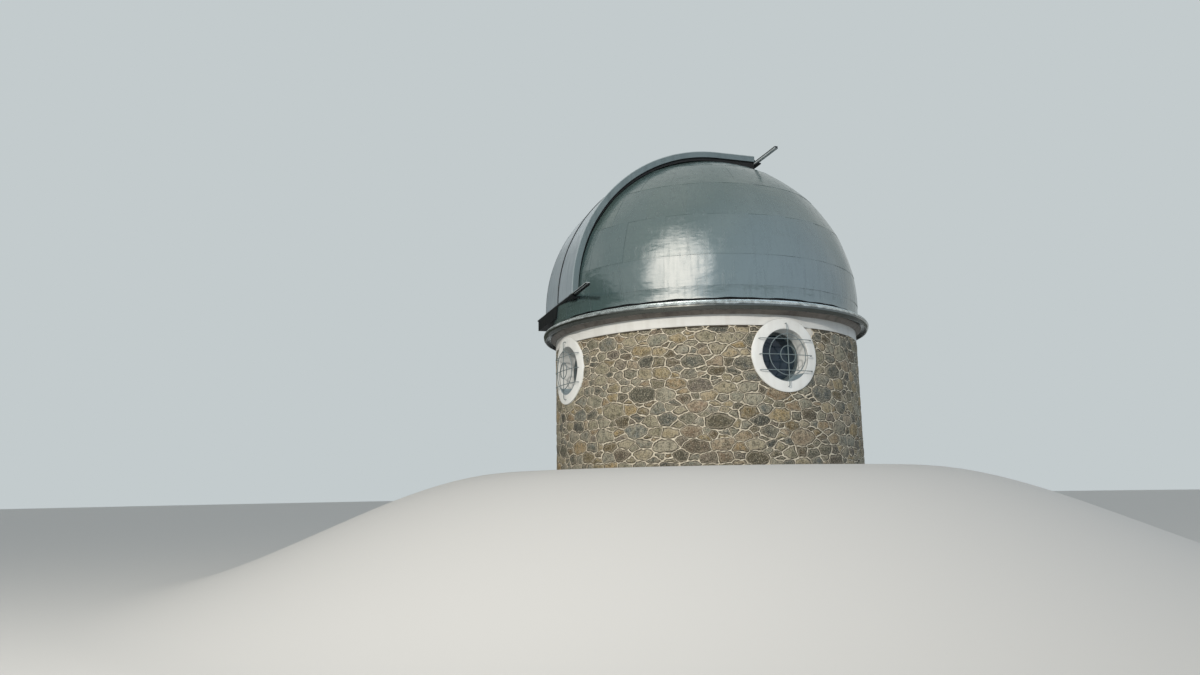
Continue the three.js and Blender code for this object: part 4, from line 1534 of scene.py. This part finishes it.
rings = [1.5, 3.0, 4.0] + [LEVEL_REACH_OUT + SLOPE_LENGTH * i / SLOPE_RINGS for i in range(SLOPE_RINGS + 1)]
rings += OUTER_RINGS
floor_verts, floor_faces = [(0, 0, floor_height(0))], []
for k, distance in enumerate(rings):
    for i in range(FLOOR_TURNS):
        angle = TAU * i / FLOOR_TURNS
        floor_verts.append((distance * math.cos(angle), distance * math.sin(angle), floor_height(distance)))
        a, b = 1 + k * FLOOR_TURNS + i, 1 + k * FLOOR_TURNS + (i + 1) % FLOOR_TURNS
        if k == 0:
            floor_faces.append((0, a, b))
        else:
            floor_faces.append((a - FLOOR_TURNS, a, b, b - FLOOR_TURNS))
ground = plain_object("ground_sheet", floor_verts, floor_faces)
ground.data.polygons.foreach_set("use_smooth", [True] * len(floor_faces))
pale_floor, tree, shader = new_material("pale_floor")
set_inputs(tree, shader, base_color=(0.52, 0.52, 0.51, 1), roughness=0.9)
ground.data.materials.append(pale_floor)
print("floor rings:", len(rings))

# %% [markdown]
# Painted and rolled metal shows what stands round it. So the light is a pale sky with soft clouds, a bright
# hazy patch low in front, and a dark band along the horizon on one side. Only reflections and light see
# it: the eye itself sees a plain pale backdrop. A small warm lamp near the same direction draws soft
# shadows.

# %% Sky
GLOW_DIRECTION = Vector((0.674, -0.607, 0.42)).normalized()
GLOW_STRENGTH = 5.9
GLOW_INSIDE = math.radians(13)
GLOW_OUTSIDE = math.radians(26)
SHADE_STRENGTH = 0.68
BLUE_DIRECTION = Vector((0.87, 0.50, 0.0)).normalized()
DARK_DIRECTION = Vector((-0.819, -0.574, 0.0)).normalized()
BACKDROP = (0.546, 0.597, 0.610, 1)
world = bpy.data.worlds.new("pale_sky")
scene.world = world
world.use_nodes = True
sky = world.node_tree
look = sky.nodes.new("ShaderNodeTexCoord").outputs["Generated"]


def toward(direction):
    """How far a ray points in a direction, from -1 to 1."""
    dot = sky.nodes.new("ShaderNodeVectorMath")
    dot.operation = "DOT_PRODUCT"
    join(sky, look, dot.inputs[0])
    join(sky, direction, dot.inputs[1])
    return dot.outputs["Value"]


def sum_of(a, factor, b):
    """a times factor plus b."""
    return calculated(sky, "MULTIPLY_ADD", a, factor, b)


clouds = stretched_noise(sky, look, (1, 1, 2.0), 2.4, 5)
ragged = stretched_noise(sky, look, (1, 1, 1.8), 7.0, 8)
colour = mix_colour(sky, masked(sky, clouds, 0.38, 0.62), (0.53, 0.58, 0.585), (0.75, 0.775, 0.76))
colour = mix_colour(sky, masked(sky, toward(BLUE_DIRECTION), 0.15, 0.90), colour, (0.95, 1.10, 1.27))
glow_edge = sum_of(ragged, 0.16, sum_of(toward(GLOW_DIRECTION), 1.0, -0.08))
glow = masked(sky, glow_edge, math.cos(GLOW_OUTSIDE), math.cos(GLOW_INSIDE))
colour = mix_colour(sky, glow, colour, (1.0, 0.91, 0.83))
dark_top = masked(sky, toward(DARK_DIRECTION), 0.35, 0.75)
dark_edge = sum_of(dark_top, 0.34, sum_of(ragged, 0.08, 0.01))
below = sum_of(toward((0, 0, 1)), -1.0, dark_edge)
colour = mix_colour(sky, masked(sky, below, -0.01, 0.02), colour, (0.070, 0.080, 0.060))
seen = sky.nodes.new("ShaderNodeLightPath").outputs
mirrored_glow = sum_of(glow, seen["Is Glossy Ray"], 0.0)
soft_light = sum_of(seen["Is Diffuse Ray"], SHADE_STRENGTH - 1, 1.0)
strength = sum_of(mirrored_glow, GLOW_STRENGTH - 1, soft_light)
lit = set_inputs(sky, sky.nodes["Background"], color=colour, strength=strength)
plain = new_node(sky, "ShaderNodeBackground", color=BACKDROP)
either = sky.nodes.new("ShaderNodeMixShader")
parts = (seen["Is Camera Ray"], lit.outputs["Background"], plain.outputs["Background"])
for value, target in zip(parts, either.inputs):
    join(sky, value, target)
sky.links.new(either.outputs["Shader"], sky.nodes["World Output"].inputs["Surface"])
scene.view_settings.view_transform = "Standard"
print("sky ready, glow toward", tuple(round(v, 2) for v in GLOW_DIRECTION))

# %% Lamp
LAMP_AZIMUTH = math.radians(-41)
LAMP_ELEVATION = math.radians(16)
LAMP_DISTANCE = 28.0
lamp_data = bpy.data.lights.new("low_sun", "AREA")
lamp_data.shape = "DISK"
lamp_data.size = 1.1
lamp_data.energy = 5000
lamp_data.color = (1.0, 0.94, 0.86)
lamp = bpy.data.objects.new("low_sun", lamp_data)
lamp.visible_glossy = False
scene.collection.objects.link(lamp)
LAMP_TARGET = Vector((0, 0, 3.0))
raised_lamp = Matrix.Rotation(-LAMP_ELEVATION, 3, "Y") @ Vector((1, 0, 0))
toward_lamp = Matrix.Rotation(LAMP_AZIMUTH, 3, "Z") @ raised_lamp
lamp.location = LAMP_TARGET + toward_lamp * LAMP_DISTANCE
lamp.rotation_euler = toward_lamp.to_track_quat("Z", "Y").to_euler()
print("lamp at", tuple(round(v, 1) for v in lamp.location))

# %% Camera
EYE = Vector((18.451, -8.408, -0.379))
LOOK = Vector((-0.9388, 0.2989, 0.1712)).normalized()
ROLL = math.radians(-0.94)
FOCAL_PIXELS = 870.0
PHOTO_WIDTH = 1200.0
camera_data = bpy.data.cameras.new("viewer")
camera_data.sensor_width = 36.0
camera_data.lens = FOCAL_PIXELS / PHOTO_WIDTH * camera_data.sensor_width
camera_data.clip_end = 500.0
camera = bpy.data.objects.new("viewer", camera_data)
scene.collection.objects.link(camera)
level = LOOK.to_track_quat("-Z", "Y").to_matrix()
camera.matrix_world = Matrix.Translation(EYE) @ (level @ Matrix.Rotation(ROLL, 3, "Z")).to_4x4()
scene.camera = camera
print("camera lens:", round(camera_data.lens, 2), "mm")
